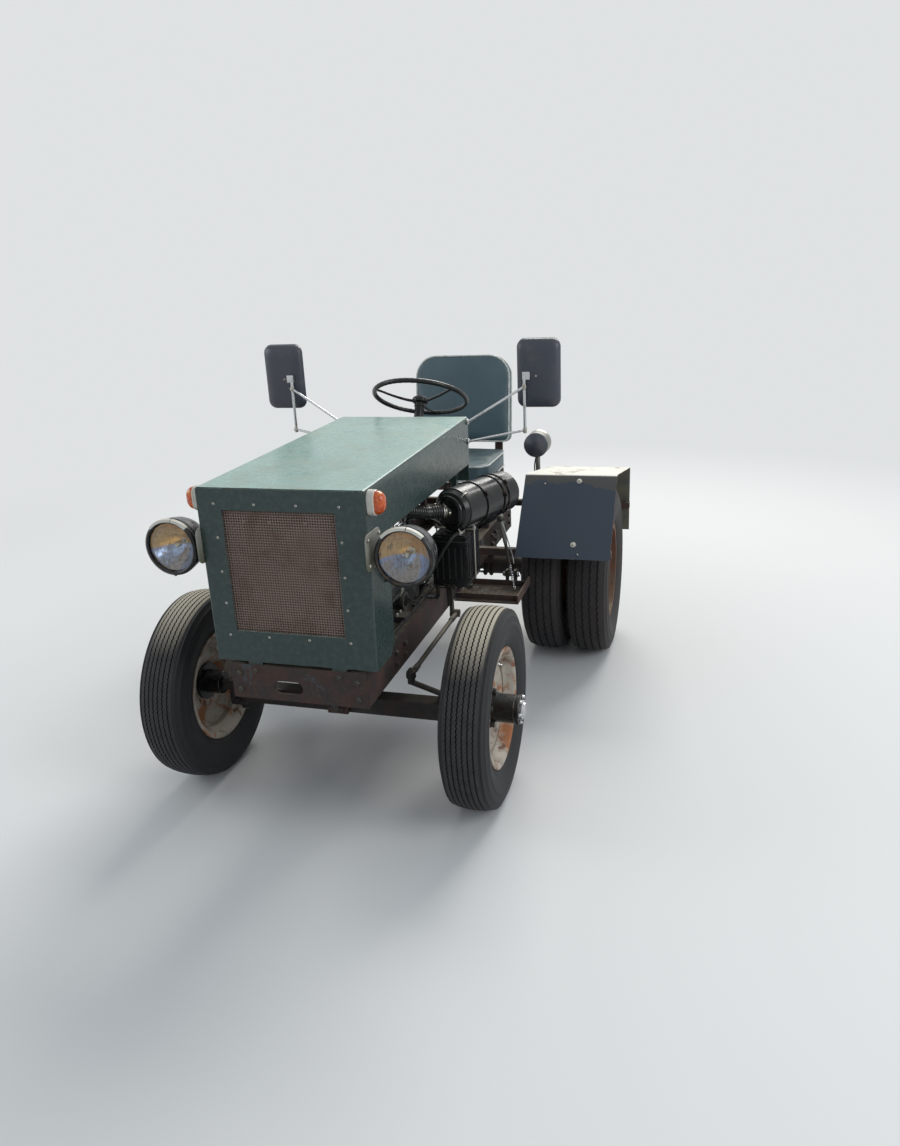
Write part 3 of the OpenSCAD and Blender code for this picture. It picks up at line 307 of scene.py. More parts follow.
def dome_screw(bm, place, axis, r, height):
    """A round screw head with its recess drawn as a small hollow, its sizes in millimetres."""
    r, height = r * MM, height * MM
    dome = [(r, 0), (r * 0.96, height * 0.4), (r * 0.72, height * 0.85), (r * 0.38, height),
            (r * 0.3, height * 0.55), (0, height * 0.5)]
    turned(bm, dome, place, axis, 14)


def finish_piece(name, bm, material, body="chassis", crease=34.0):
    """Closes a mesh under construction and lets it ride on a body, by name."""
    bmesh.ops.remove_doubles(bm, verts=bm.verts, dist=1e-6)
    bmesh.ops.recalc_face_normals(bm, faces=bm.faces)
    limit = math.radians(crease)
    for face in bm.faces:
        face.smooth = True
    for e in bm.edges:
        e.smooth = len(e.link_faces) == 2 and e.calc_face_angle(math.pi) < limit
    mesh = bpy.data.meshes.new(name)
    bm.to_mesh(mesh)
    bm.free()
    obj = bpy.data.objects.new(name, mesh)
    scene.collection.objects.link(obj)
    mesh.materials.append(material)
    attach(obj, body)
    print("made", name, len(mesh.polygons), "faces")
    return obj

# %% [markdown]
# The floor keeps the tractor's shadow, so it is plain paint near by. Farther away it turns by
# degrees into a pale glow that only the lens and reflections see: an evenly lit wall would need
# much more light, and that light would fall on the tractor as well.

# %% Floor and wall in one swept sheet
def sweep_backdrop():
    bm = bmesh.new()
    reach, back, bend, wall_top = 14.0, 9.0, 5.0, 12.0
    line = [(-reach, 0.0), (back, 0.0)]
    for i in range(1, 17):
        a = math.pi / 2 * i / 16
        line.append((back + bend * math.sin(a), bend - bend * math.cos(a)))
    line.append((back + bend, wall_top))
    skin(bm, [[Vector((x, y, z)) for y, z in line] for x in (-reach, reach)], closed=False)
    mesh = bpy.data.meshes.new("floor")
    bm.to_mesh(mesh)
    bm.free()
    for face in mesh.polygons:
        face.use_smooth = True
    floor = bpy.data.objects.new("floor", mesh)
    floor.rotation_euler.z = -YAW
    scene.collection.objects.link(floor)
    paint = bpy.data.materials.new("floor_paint")
    paint.use_nodes = True
    lit = paint.node_tree.nodes["Principled BSDF"]
    lit.inputs["Base Color"].default_value = (*BACKDROP, 1)
    lit.inputs["Roughness"].default_value = 0.9
    tree = paint.node_tree
    glow = tree.nodes.new("ShaderNodeEmission")
    glow.inputs["Color"].default_value = (*WALL, 1)
    places = tree.nodes.new("ShaderNodeTexCoord")
    away = tree.nodes.new("ShaderNodeVectorMath")
    away.operation = "LENGTH"
    rise = tree.nodes.new("ShaderNodeMapRange")
    rise.interpolation_type = "SMOOTHSTEP"
    rise.inputs["From Min"].default_value, rise.inputs["From Max"].default_value = GLOW_FROM, GLOW_TO
    both = tree.nodes.new("ShaderNodeMath")
    both.operation = "MULTIPLY"
    mix = tree.nodes.new("ShaderNodeMixShader")
    tree.links.new(places.outputs["Object"], away.inputs[0])
    tree.links.new(away.outputs["Value"], rise.inputs["Value"])
    tree.links.new(rise.outputs[0], both.inputs[0])
    tree.links.new(seen_directly(tree, tree.nodes.new("ShaderNodeLightPath")), both.inputs[1])
    tree.links.new(both.outputs[0], mix.inputs[0])
    tree.links.new(lit.outputs[0], mix.inputs[1])
    tree.links.new(glow.outputs[0], mix.inputs[2])
    tree.links.new(mix.outputs[0], tree.nodes["Material Output"].inputs[0])
    mesh.materials.append(paint)


sweep_backdrop()
print("floor and wall stand as stage")

# %% [markdown]
# ## Finishes
#
# Old farm paint is never one colour. It fades where the sun falls, chips along edges, and holds dust and oil
# in its corners, and bare iron turns brown in patches. A finish here starts from one Principled shader and
# lays masks over it, one for each thing that happened to the surface, and some that paint highlight where the
# sun falls on tops.
# The masks come from noise in the object's own coordinates, so that they stay on the metal when
# a wheel turns. A Bevel node compares the true normal with a rounded one, which finds the edges
# where paint wears first.

# %% A finish that is built up in layers
def rgb(red, green, blue):
    """A colour given as it looks on screen, 0 to 255, turned into the linear one that shaders use."""
    out = []
    for v in (red, green, blue):
        v /= 255
        out.append(v / 12.92 if v <= 0.04045 else ((v + 0.055) / 1.055) ** 2.4)
    return (*out, 1.0)


class Finish:
    """A material that is laid up in coats, as the real surface was."""

    def __init__(self, name, colour, rough, metal=0.0):
        self.material = bpy.data.materials.new(name)
        self.material.use_nodes = True
        self.tree = self.material.node_tree
        self.shader = self.tree.nodes["Principled BSDF"]
        self.values = {"Base Color": colour, "Roughness": rough, "Metallic": metal}
        for socket, value in self.values.items():
            self.shader.inputs[socket].default_value = value
        self.place = self.tree.nodes.new("ShaderNodeTexCoord").outputs["Object"]
        self.normal = None

    def add(self, kind, **settings):
        node = self.tree.nodes.new(kind)
        for name, value in settings.items():
            setattr(node, name, value)
        return node

    def feed(self, socket, value):
        if isinstance(value, bpy.types.NodeSocket):
            self.tree.links.new(value, socket)
        else:
            socket.default_value = value

    def uniform(self, **sockets):
        """Values that are the same all over, set on the shader itself."""
        for name, value in sockets.items():
            self.shader.inputs[name.replace("_", " ")].default_value = value
        return self

    def scaled(self, stretch):
        mapping = self.add("ShaderNodeMapping")
        self.feed(mapping.inputs["Vector"], self.place)
        mapping.inputs["Scale"].default_value = stretch
        return mapping.outputs[0]

    def noise(self, scale, detail=5.0, stretch=None, rough=0.55, distort=0.0):
        node = self.add("ShaderNodeTexNoise")
        self.feed(node.inputs["Vector"], self.scaled(stretch) if stretch else self.place)
        node.inputs["Scale"].default_value = scale
        node.inputs["Detail"].default_value = detail
        node.inputs["Roughness"].default_value = rough
        node.inputs["Distortion"].default_value = distort
        return node.outputs["Fac"]

    def cells(self, scale):
        node = self.add("ShaderNodeTexVoronoi")
        self.feed(node.inputs["Vector"], self.place)
        node.inputs["Scale"].default_value = scale
        return node.outputs["Distance"]

    def band(self, value, low, high, out=(0.0, 1.0)):
        node = self.add("ShaderNodeMapRange", clamp=True, interpolation_type="SMOOTHSTEP")
        self.feed(node.inputs["Value"], value)
        for socket, v in zip(("From Min", "From Max", "To Min", "To Max"), (low, high, *out)):
            node.inputs[socket].default_value = v
        return node.outputs[0]

    def sum_of(self, a, b, how="ADD", clamp=True):
        node = self.add("ShaderNodeMath", operation=how, use_clamp=clamp)
        self.feed(node.inputs[0], a)
        self.feed(node.inputs[1], b)
        return node.outputs[0]

    def edges(self, radius, low, high):
        """Where the surface turns a corner."""
        bevel = self.add("ShaderNodeBevel", samples=4)
        bevel.inputs["Radius"].default_value = radius
        true_normal = self.add("ShaderNodeNewGeometry").outputs["Normal"]
        dot = self.add("ShaderNodeVectorMath", operation="DOT_PRODUCT")
        self.feed(dot.inputs[0], bevel.outputs[0])
        self.feed(dot.inputs[1], true_normal)
        return self.band(self.sum_of(1.0, dot.outputs["Value"], "SUBTRACT"), low, high)

    def upward(self, low, high):
        """Where the surface faces the sky, so that dust settles and paint fades, and where painted highlight
        stands for light from above.
        """
        split = self.add("ShaderNodeSeparateXYZ")
        self.feed(split.inputs[0], self.add("ShaderNodeNewGeometry").outputs["Normal"])
        return self.band(split.outputs["Z"], low, high)

    def from_axle(self, axle, low, high):
        """From 0 at one distance from a wheel's axle to 1 at another."""
        flat = self.add("ShaderNodeVectorMath", operation="MULTIPLY_ADD")
        self.feed(flat.inputs[0], self.place)
        flat.inputs[1].default_value = (0, 1, 1)
        flat.inputs[2].default_value = (0, -axle.y, -axle.z)
        reach = self.add("ShaderNodeVectorMath", operation="LENGTH")
        self.feed(reach.inputs[0], flat.outputs[0])
        return self.band(reach.outputs["Value"], low, high)

    def height(self, low, high):
        """From 0 at one height above the ground to 1 at another."""
        split = self.add("ShaderNodeSeparateXYZ")
        self.feed(split.inputs[0], self.place)
        return self.band(split.outputs["Z"], low, high)

    def behind(self, low, high, out=(0.0, 1.0)):
        """From 0 at one distance behind the front panel to 1 at another."""
        split = self.add("ShaderNodeSeparateXYZ")
        self.feed(split.inputs[0], self.place)
        return self.band(split.outputs["Y"], NOSE_Y + low, NOSE_Y + high, out)

    def coat(self, mask, colour=None, rough=None, metal=None):
        """Lays a colour, a roughness and a metal share over what is there, where the mask says."""
        for socket, value in (("Base Color", colour), ("Roughness", rough), ("Metallic", metal)):
            if value is None:
                continue
            colours = socket == "Base Color"
            mix = self.add("ShaderNodeMix", data_type="RGBA" if colours else "FLOAT")
            kind = "Color" if colours else "Float"
            ends = ("A_" + kind, "B_" + kind, "Result_" + kind)
            a, b = (next(s for s in mix.inputs if s.identifier == e) for e in ends[:2])
            result = next(s for s in mix.outputs if s.identifier == ends[2])
            factor = next(s for s in mix.inputs if s.identifier == "Factor_Float")
            self.feed(factor, mask)
            self.feed(a, self.values[socket])
            self.feed(b, value)
            self.values[socket] = result
        return self

    def relief(self, height, depth, strength=1.0):
        """Small dents and grain, as a bump of a real depth."""
        bump = self.add("ShaderNodeBump")
        bump.inputs["Strength"].default_value = strength
        bump.inputs["Distance"].default_value = depth
        self.feed(bump.inputs["Height"], height)
        if self.normal:
            self.tree.links.new(self.normal, bump.inputs["Normal"])
        self.normal = bump.outputs[0]
        return self

    def done(self):
        for socket, value in self.values.items():
            self.feed(self.shader.inputs[socket], value)
        if self.normal:
            self.tree.links.new(self.normal, self.shader.inputs["Normal"])
        return self.material


print("finish helper ready")

# %% [markdown]
# ### Painted sheet
#
# The nose is brushed with dark green enamel. Brush strokes leave fine ridges that catch the light, and edges
# have chipped to brown primer and rust. The top is a pale chalky green: partly faded paint, partly painted
# highlight for the sun's gleam, with pale streaks along the strokes painted as glints. A stretched noise
# makes the strokes, a broad one the faded and sunlit patches, and dust lies on what faces up.

# %% Green enamel, blue-grey enamel and black enamel
CHIP = rgb(88, 70, 56)
DUST = rgb(150, 142, 122)


def enamel(name, colour, faded_and_sunlit, rough=0.34, stroke=(1, 14, 1), chips=0.62, dust=0.35):
    f = Finish(name, colour, rough)
    broad = f.noise(2.2, 4)
    # Tops take the faded_and_sunlit colour: partly faded paint, partly painted highlight for sun on the top
    # faces.
    f.coat(f.sum_of(f.upward(0.55, 0.97), f.band(broad, 0.3, 0.7, (0.75, 1.0)), "MULTIPLY"), faded_and_sunlit)
    strokes = f.noise(55, 6, stroke, 0.7)
    tint = f.noise(9, 6)
    f.coat(f.band(tint, 0.45, 0.75, (0, 0.2)), tuple(c * 0.8 for c in colour[:3]) + (1,))
    f.coat(f.band(strokes, 0.42, 0.72, (0, 0.07)), faded_and_sunlit)
    # Pale streaks along the strokes on the tops: painted highlight, glints of sun on the brush marks.
    glare_strokes = f.sum_of(f.upward(0.8, 0.97), f.band(strokes, 0.46, 0.62, (0, 0.75)), "MULTIPLY")
    f.coat(glare_strokes, tuple(min(1.0, c * 1.6) for c in faded_and_sunlit[:3]) + (1,))
    f.coat(f.band(f.noise(30, 8, None, 0.7), 0.35, 0.7), None, rough + 0.08)
    worn = f.sum_of(f.edges(0.0035, 0.01, 0.09), f.band(f.noise(38, 7), 0.52, chips), "MULTIPLY")
    f.coat(worn, CHIP, 0.72)
    specks = f.band(f.noise(150, 3), 0.70, 0.76)
    f.coat(f.sum_of(specks, f.band(broad, 0.5, 0.62), "MULTIPLY"), CHIP, 0.7)
    settled = f.sum_of(f.upward(0.2, 1.0), f.band(f.noise(14, 8), 0.35, 0.8, (0, dust)), "MULTIPLY")
    f.coat(settled, DUST, 0.7)
    f.relief(strokes, 0.0002, 0.4)
    f.relief(f.noise(5, 3), 0.002, 0.2)
    return f.uniform(Specular_IOR_Level=0.4).done()


# The hood's pale top colour is mostly painted highlight, the sun's gleam on its top.
green_paint = enamel("green_paint", rgb(47, 62, 60), rgb(142, 172, 164), 0.24)
# On black enamel the paler top colour is painted highlight, for sun on the tops of the can, the wheel and the
# drums.
black_paint = enamel("black_paint", rgb(17, 18, 19), rgb(58, 61, 64), 0.2, (1, 1, 1), 0.6, 0.15)

f = Finish("guard_paint", rgb(40, 52, 67), 0.42)
f.coat(f.band(f.noise(9, 6), 0.4, 0.75, (0, 0.35)), rgb(40, 54, 60))
f.coat(f.band(f.noise(60, 7, (1, 1, 0.12), 0.7), 0.62, 0.8, (0, 0.35)), rgb(112, 118, 112), 0.6)
ragged = f.sum_of(f.height(0.79, 0.89), f.band(f.noise(4, 7, (1, 0.2, 0.5), 0.6), 0.2, 0.8), "ADD", False)
f.coat(f.band(ragged, 1.16, 1.22), rgb(70, 70, 69), 0.7)
# Near-white top faces: dust, and painted highlight for the sky's glare on them.
f.coat(f.upward(0.82, 0.93), rgb(222, 220, 210), 0.62)
flaked = f.band(f.noise(13, 10, (1, 0.5, 1), 0.72), 0.56, 0.62)
f.coat(f.sum_of(f.upward(0.82, 0.93), flaked, "MULTIPLY"), rgb(168, 158, 140), 0.8)
f.coat(f.sum_of(f.edges(0.003, 0.01, 0.09), f.band(f.noise(38, 7), 0.42, 0.6), "MULTIPLY"),
       rgb(122, 104, 82), 0.7)
inner_face = f.sum_of(f.behind(2.090, 2.098), f.behind(2.1015, 2.1025, (1.0, 0.0)), "MULTIPLY")
f.coat(f.sum_of(inner_face, f.band(f.noise(16, 8), 0.3, 0.6, (0.5, 1)), "MULTIPLY"), rgb(98, 94, 80), 0.85)
f.relief(f.noise(7, 3), 0.002, 0.3)
guard_paint = f.done()
print("three enamels")

# %% [markdown]
# ### Rusty iron
#
# The frame and axles were painted once. Now most of that paint has gone, and the steel is brown
# with darker oily places and paler dust on ledges. Three noises at different scales keep the
# patches from looking like one pattern, and the grain of rust is a fine bump.

# %% Rust, cast iron and bare steel
def rusty(name, base, rust, old_paint=None, rough=0.78, metal=0.0, rusted=(0.38, 0.66), dust=0.55, oil=0.0):
    f = Finish(name, base, rough, metal)
    patches = f.noise(11, 10, None, 0.65, 0.4)
    f.coat(f.band(patches, *rusted), rust, 0.88, 0.0)
    fine = f.noise(85, 8, None, 0.7)
    f.coat(f.band(fine, 0.5, 0.8, (0, 0.6)), tuple(c * 1.7 for c in rust[:3]) + (1,))
    if old_paint:
        f.coat(f.band(f.noise(6, 9, None, 0.7, 0.8), 0.6, 0.64), old_paint, 0.5, 0.0)
    if oil:
        f.coat(f.band(f.noise(4.5, 5, None, 0.6), 0.5, 0.62, (0, oil)), rgb(22, 19, 17), 0.35, 0.0)
    settled = f.sum_of(f.upward(0.1, 1.0), f.band(f.noise(17, 8), 0.3, 0.75, (0.1, dust)), "MULTIPLY")
    f.coat(settled, DUST, 0.9, 0.0)
    f.relief(fine, 0.0006, 0.6)
    f.relief(patches, 0.0012, 0.35)
    return f.done()


frame_steel = rusty("frame_steel", rgb(46, 39, 39), rgb(70, 50, 42), rgb(50, 56, 60), dust=0.35)
axle_steel = rusty("axle_steel", rgb(29, 27, 29), rgb(50, 39, 35), None, dust=0.2, oil=0.8)
link_steel = rusty("link_steel", rgb(62, 60, 58), rgb(78, 60, 48), None, 0.5, 0.5, (0.5, 0.72), 0.4, 0.5)
exhaust_steel = rusty("exhaust_steel", rgb(86, 62, 50), rgb(112, 70, 46), None, 0.85)
rear_rim_paint = rusty("rear_rim_paint", rgb(92, 68, 54), rgb(104, 66, 44), rgb(120, 112, 100))
engine_iron = rusty("engine_iron", rgb(50, 50, 52), rgb(66, 54, 46), rgb(46, 62, 60), 0.6, 0.15,
                    (0.52, 0.78), 0.6, 0.85)
mesh_wire = rusty("mesh_wire", rgb(150, 131, 122), rgb(120, 96, 84), None, 0.7, 0.1, (0.45, 0.75), 0.3)
print("seven irons")

# %% Light metal, zinc, bright steel and mirror
def bare(name, colour, rough, stain, metal=1.0, stained=(0.5, 0.8)):
    f = Finish(name, colour, rough, metal)
    spots = f.noise(28, 9, None, 0.7)
    f.coat(f.band(spots, *stained), stain, rough + 0.25, metal * 0.6)
    f.coat(f.band(f.noise(120, 4, (1, 9, 1)), 0.3, 0.8, (0, 1)), None, rough + 0.08)
    f.relief(f.noise(220, 5), 0.0002, 0.35)
    return f.done()


alloy = bare("alloy", rgb(132, 132, 128), 0.48, rgb(78, 74, 68), 0.75)
zinc = bare("zinc", rgb(176, 174, 166), 0.34, rgb(112, 92, 74), 0.95)
bright_rod = bare("bright_rod", rgb(196, 198, 200), 0.18, rgb(120, 112, 102))
chrome = bare("chrome", rgb(206, 208, 210), 0.1, rgb(128, 120, 108), 1.0, (0.62, 0.9))
brass = bare("brass", rgb(170, 138, 74), 0.36, rgb(92, 74, 48))
copper = bare("copper", rgb(150, 92, 66), 0.42, rgb(80, 58, 46))
mirror_glass = Finish("mirror_glass", rgb(215, 218, 220), 0.03, 1.0).done()

# The bowl's colours are painted reflection: pale blue below and warm gold above, for what the mirror shows;
# the darker spots are tarnish.
f = Finish("lamp_mirror", rgb(168, 196, 250), 0.16, 0.55)
f.coat(f.height(0.958, 0.968), rgb(250, 196, 112))
f.coat(f.band(f.noise(150, 5, (1, 1, 0.14)), 0.48, 0.6, (0, 0.5)), rgb(128, 104, 84), 0.3)
f.coat(f.band(f.noise(48, 6), 0.58, 0.66, (0, 0.6)), rgb(92, 76, 62), 0.3)
lamp_mirror = f.done()
print("seven bare metals")

# %% [markdown]
# ### Rubber, plastic and glass
#
# Tyre rubber is nearly black, and turns grey-brown where dust stays. The front tread's running face is
# scuffed grey, and pale on top: dust, and painted highlight for the sun on the upward ribs. So its mask looks
# at the distance from the wheel's axle. Glass is left clear, so that what is behind it shows, with a slight
# warm tint from its age.

# %% Tyres and hoses
def rubber(name, colour, dusty, dust=(0.35, 0.75), share=0.75, wear=None, running=None):
    f = Finish(name, colour, 0.72)
    f.coat(f.band(f.noise(24, 9, None, 0.7), *dust, (0, share)), dusty, 0.92)
    f.coat(f.sum_of(f.upward(0.3, 1.0), f.band(f.noise(60, 6), 0.3, 0.7), "MULTIPLY"), dusty, 0.92)
    if wear:
        f.coat(f.band(f.noise(5, 6, None, 0.6), 0.45, 0.62, (0, 0.7)), wear, 0.85)
    if running:
        patches = f.band(f.noise(32, 8, None, 0.7), 0.25, 0.7, (0.05, 0.3))
        ribs = f.from_axle(*running)
        f.coat(f.sum_of(ribs, patches, "MULTIPLY"), rgb(84, 82, 80), 0.9)
        # Pale tops of the running ribs: dust, and painted highlight for the sun on them.
        f.coat(f.sum_of(f.sum_of(ribs, f.upward(0.60, 0.97), "MULTIPLY"), 0.8, "MULTIPLY"),
               rgb(196, 188, 170), 0.95)
    f.relief(f.noise(320, 4), 0.0002, 0.5)
    return f.done()


front_rubber = rubber("front_rubber", rgb(19, 20, 24), rgb(60, 58, 57), (0.52, 0.86), 0.4, None,
                      (FRONT_AXLE, 0.3376, 0.3388))
rear_rubber = rubber("rear_rubber", rgb(27, 26, 28), rgb(68, 60, 54), (0.46, 0.84), 0.55, rgb(48, 41, 37))
hose_rubber = rubber("hose_rubber", rgb(24, 24, 25), rgb(82, 78, 70), (0.5, 0.8), 0.5)

# %% Plastics, rim paint and vinyl
f = Finish("black_plastic", rgb(26, 26, 28), 0.42)
f.coat(f.band(f.noise(20, 8), 0.45, 0.8, (0, 0.45)), rgb(70, 68, 64), 0.6)
f.relief(f.noise(260, 4), 0.0002, 0.4)
black_plastic = f.done()

f = Finish("pale_plastic", rgb(206, 204, 194), 0.4)
f.coat(f.band(f.noise(30, 8), 0.45, 0.8, (0, 0.3)), rgb(150, 140, 122), 0.6)
pale_plastic = f.done()

f = Finish("bracket_paint", rgb(98, 99, 82), 0.5)
# Paler grey towards the plate's top: grey paint, and painted highlight for the sun's glare there.
f.coat(f.height(0.93, 1.02), rgb(142, 142, 134))
f.coat(f.band(f.noise(24, 8), 0.5, 0.8, (0, 0.7)), rgb(90, 80, 66), 0.7)
bracket_paint = f.done()

f = Finish("mirror_plastic", rgb(58, 62, 72), 0.36)
f.coat(f.band(f.noise(14, 8), 0.5, 0.8, (0, 0.5)), rgb(84, 84, 84), 0.55)
f.relief(f.noise(240, 4), 0.0002, 0.3)
mirror_plastic = f.done()

f = Finish("front_rim_paint", rgb(166, 158, 146), 0.5)
f.coat(f.band(f.noise(7, 10, None, 0.65, 0.6), 0.5, 0.6), rgb(150, 96, 60), 0.85)
f.coat(f.band(f.noise(26, 9, None, 0.7, 0.5), 0.56, 0.64), rgb(112, 66, 42), 0.88)
f.coat(f.sum_of(f.edges(0.004, 0.01, 0.09), f.band(f.noise(40, 6), 0.4, 0.6), "MULTIPLY"), rgb(120, 72, 46),
       0.85)
f.coat(f.band(f.noise(13, 7), 0.38, 0.8, (0, 0.75)), rgb(92, 82, 72), 0.8)
f.relief(f.noise(60, 8), 0.0006, 0.5)
front_rim_paint = f.done()

f = Finish("green_vinyl", rgb(64, 84, 92), 0.42)
f.coat(f.band(f.noise(4, 6), 0.42, 0.75, (0, 0.5)), rgb(84, 106, 112), 0.48)
f.coat(f.sum_of(f.upward(0.4, 1.0), f.band(f.noise(22, 8), 0.35, 0.75, (0, 0.5)), "MULTIPLY"),
       rgb(112, 118, 104), 0.7)
grain = f.cells(420)
f.relief(grain, 0.0004, 0.5)
f.relief(f.noise(35, 6, None, 0.6), 0.001, 0.3)
green_vinyl = f.done()

f = Finish("pale_piping", rgb(200, 204, 200), 0.4)
f.coat(f.band(f.noise(40, 8), 0.4, 0.75, (0, 0.6)), rgb(118, 112, 98), 0.7)
pale_piping = f.done()

# %% Glass and amber
f = Finish("lens_glass", (0.97, 0.96, 0.90, 1), 0.03)
f.uniform(Transmission_Weight=1.0, IOR=1.48)
lens_glass = f.done()

f = Finish("amber", rgb(250, 124, 12), 0.16)
f.coat(f.band(f.cells(150), 0.15, 0.55), rgb(206, 74, 8), 0.24)
f.coat(f.band(f.noise(60, 6), 0.5, 0.7, (0, 0.6)), rgb(255, 176, 60), 0.3)
f.uniform(Transmission_Weight=0.25, IOR=1.49, Coat_Weight=0.5, Coat_Roughness=0.08)
f.relief(f.cells(150), 0.0012, 0.6)
amber = f.done()
print("rubber, plastic, vinyl and glass are ready")

# %% [markdown]
# ### Which node gets which finish
#
# The record names one finish slot for each node. A table from slot to material dresses every
# node that stays, and the nodes that are made again further down take the same materials.

# %% Dress the nodes that stay
FINISH_OF = {
    "frame_steel": frame_steel, "axle_steel": axle_steel, "link_steel": link_steel,
    "green_sheet": green_paint, "mesh_steel": mesh_wire, "front_tyre": front_rubber,
    "rear_tyre": rear_rubber, "front_rim": front_rim_paint, "rear_rim": rear_rim_paint,
    "engine_iron": engine_iron, "alloy": alloy, "exhaust_steel": exhaust_steel,
    "black_gloss": black_paint, "black_plastic": black_plastic, "lamp_glass": lens_glass,
    "amber": amber, "green_vinyl": green_vinyl, "guard_paint": guard_paint, "bright_rod": bright_rod,
}
for entry in frame["record"]["subparts"]:
    skin_of = frame["nodes"][entry["node"]].data.materials
    skin_of.clear()
    skin_of.append(FINISH_OF[entry["material_slot"]])
print("dressed", len(frame["nodes"]), "nodes")

# %% [markdown]
# ## The nose
#
# The nose is one sheet of 3 mm steel, bent down on both sides, with a flat panel set under its
# front edge. Hand-folded sheet is never quite flat, so both are built as grids of points that
# carry a few tenths of a millimetre of waviness, and the grid is then given its thickness. A
# plain box could not show the round folds, which is where the light breaks.

# %% A helper for sheet metal
def thick_sheet(bm, grid, thick, open_at=None):
    """Faces on both sides of a grid of points, and along every free edge."""
    rows, cols = len(grid), len(grid[0])
    back = []
    for i in range(rows):
        line = []
        for j in range(cols):
            along = grid[min(i + 1, rows - 1)][j] - grid[max(i - 1, 0)][j]
            across = grid[i][min(j + 1, cols - 1)] - grid[i][max(j - 1, 0)]
            line.append(grid[i][j] - along.cross(across).normalized() * thick)
        back.append(line)
    front = [[bm.verts.new(p) for p in line] for line in grid]
    rear = [[bm.verts.new(p) for p in line] for line in back]
    kept = {(i, j) for i in range(rows - 1) for j in range(cols - 1) if not (open_at and open_at(i, j))}
    for i, j in kept:
        bm.faces.new((front[i][j], front[i + 1][j], front[i + 1][j + 1], front[i][j + 1]))
        bm.faces.new((rear[i][j], rear[i][j + 1], rear[i + 1][j + 1], rear[i + 1][j]))
        for di, dj, a, b in ((-1, 0, (0, 0), (0, 1)), (1, 0, (1, 0), (1, 1)),
                             (0, -1, (0, 0), (1, 0)), (0, 1, (0, 1), (1, 1))):
            if (i + di, j + dj) not in kept:
                p, q = (i + a[0], j + a[1]), (i + b[0], j + b[1])
                bm.faces.new((front[p[0]][p[1]], front[q[0]][q[1]], rear[q[0]][q[1]], rear[p[0]][p[1]]))


def soften(obj, width=0.0006, segments=2, angle=40.0):
    """Rounds the sharp edges a little, as a file or wear does."""
    edge = obj.modifiers.new("soft_edges", "BEVEL")
    edge.width = width
    edge.segments = segments
    edge.limit_method = "ANGLE"
    edge.angle_limit = math.radians(angle)
    edge.harden_normals = True
    return obj


def spread(low, high, count):
    return [low + (high - low) * i / (count - 1) for i in range(count)]


def wave(p, scale, seed=0.0):
    """Gentle unevenness, from -1 to 1, that is the same each time."""
    return noise.noise(Vector((p[0] * scale + seed, p[1] * scale - seed, p[2] * scale)))


SHEET = 0.003
print("sheet metal is", SHEET * 1000, "mm thick")

# %% Hood: a folded sheet over the engine
hood_low, hood_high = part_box("hood")
HOOD_HALF = hood_high.x
HOOD_FOLD = 0.007
HOOD_FRONT_Z, HOOD_BACK_Z, HOOD_SIDE_Z = 1.168, hood_high.z, hood_low.z
HOOD_LONG = hood_high.y - hood_low.y


def hood_section(top):
    """The hood's outline from the lower left edge over the top to the lower right edge."""
    half = HOOD_HALF - 0.0002
    line = [(half, z) for z in spread(HOOD_SIDE_Z, top - HOOD_FOLD, 9)[:-1]]
    for i in range(7):
        a = math.pi / 2 * i / 6
        line.append((half - HOOD_FOLD + HOOD_FOLD * math.cos(a), top - HOOD_FOLD + HOOD_FOLD * math.sin(a)))
    line += [(x, top) for x in spread(half - HOOD_FOLD, 0, 12)[1:]]
    return line + [(-x, z) for x, z in reversed(line[:-1])]


def make_hood():
    bm = bmesh.new()
    grid = []
    for y in spread(0.0, HOOD_LONG, 48):
        top = HOOD_FRONT_Z + (HOOD_BACK_Z - HOOD_FRONT_Z) * y / HOOD_LONG
        line = []
        for x, z in hood_section(top):
            p = at(x, max(y, SHEET + 0.0003) if z < top - SHEET else y, z)
            on_top = max(0.0, 1 - abs(x) / (HOOD_HALF - 0.012)) ** 0.6 if z > top - 0.0005 else 0.0
            on_side = max(0.0, min(1.0, (top - 0.02 - z) / 0.06)) if abs(x) > HOOD_HALF - 0.001 else 0.0
            p.z += on_top * (0.0016 * wave(p, 4.2) - 0.0012 * max(0.0, wave(p, 2.1, 7.0)) - 0.0006)
            p.x -= math.copysign(on_side * (0.0007 + 0.0007 * wave(p, 4.5, 3.0)), x)
            line.append(p)
        grid.append(line)
    thick_sheet(bm, grid, SHEET)
    hood = finish_piece("hood_sheet", bm, green_paint, crease=180)
    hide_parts("hood")
    return soften(hood, 0.0008)


make_hood()

# %% [markdown]
# ### Front panel
#
# Below the hood's edge the panel is bent back at both sides to a flange, and a side plate goes
# on behind it, cut away at its lower rear corner. Higher up it is flat and closes the hood's
# front. One grid makes both: the columns of the bend lie flat above the hood's edge. The opening
# for the mesh is left out of the grid, so the sheet shows its thickness all round it.

# %% Front panel, side plates and tabs
panel_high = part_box("front_panel")[1]
PANEL_HALF, PANEL_TOP, PANEL_FOOT = panel_high.x, panel_high.z, 0.596
MESH_X, MESH_Z, MESH_W, MESH_H = -0.008, 0.900, 0.372, 0.395
PANEL_FOLD, FLANGE, TURNED_TO = 0.007, 0.022, HOOD_SIDE_Z - 0.0003


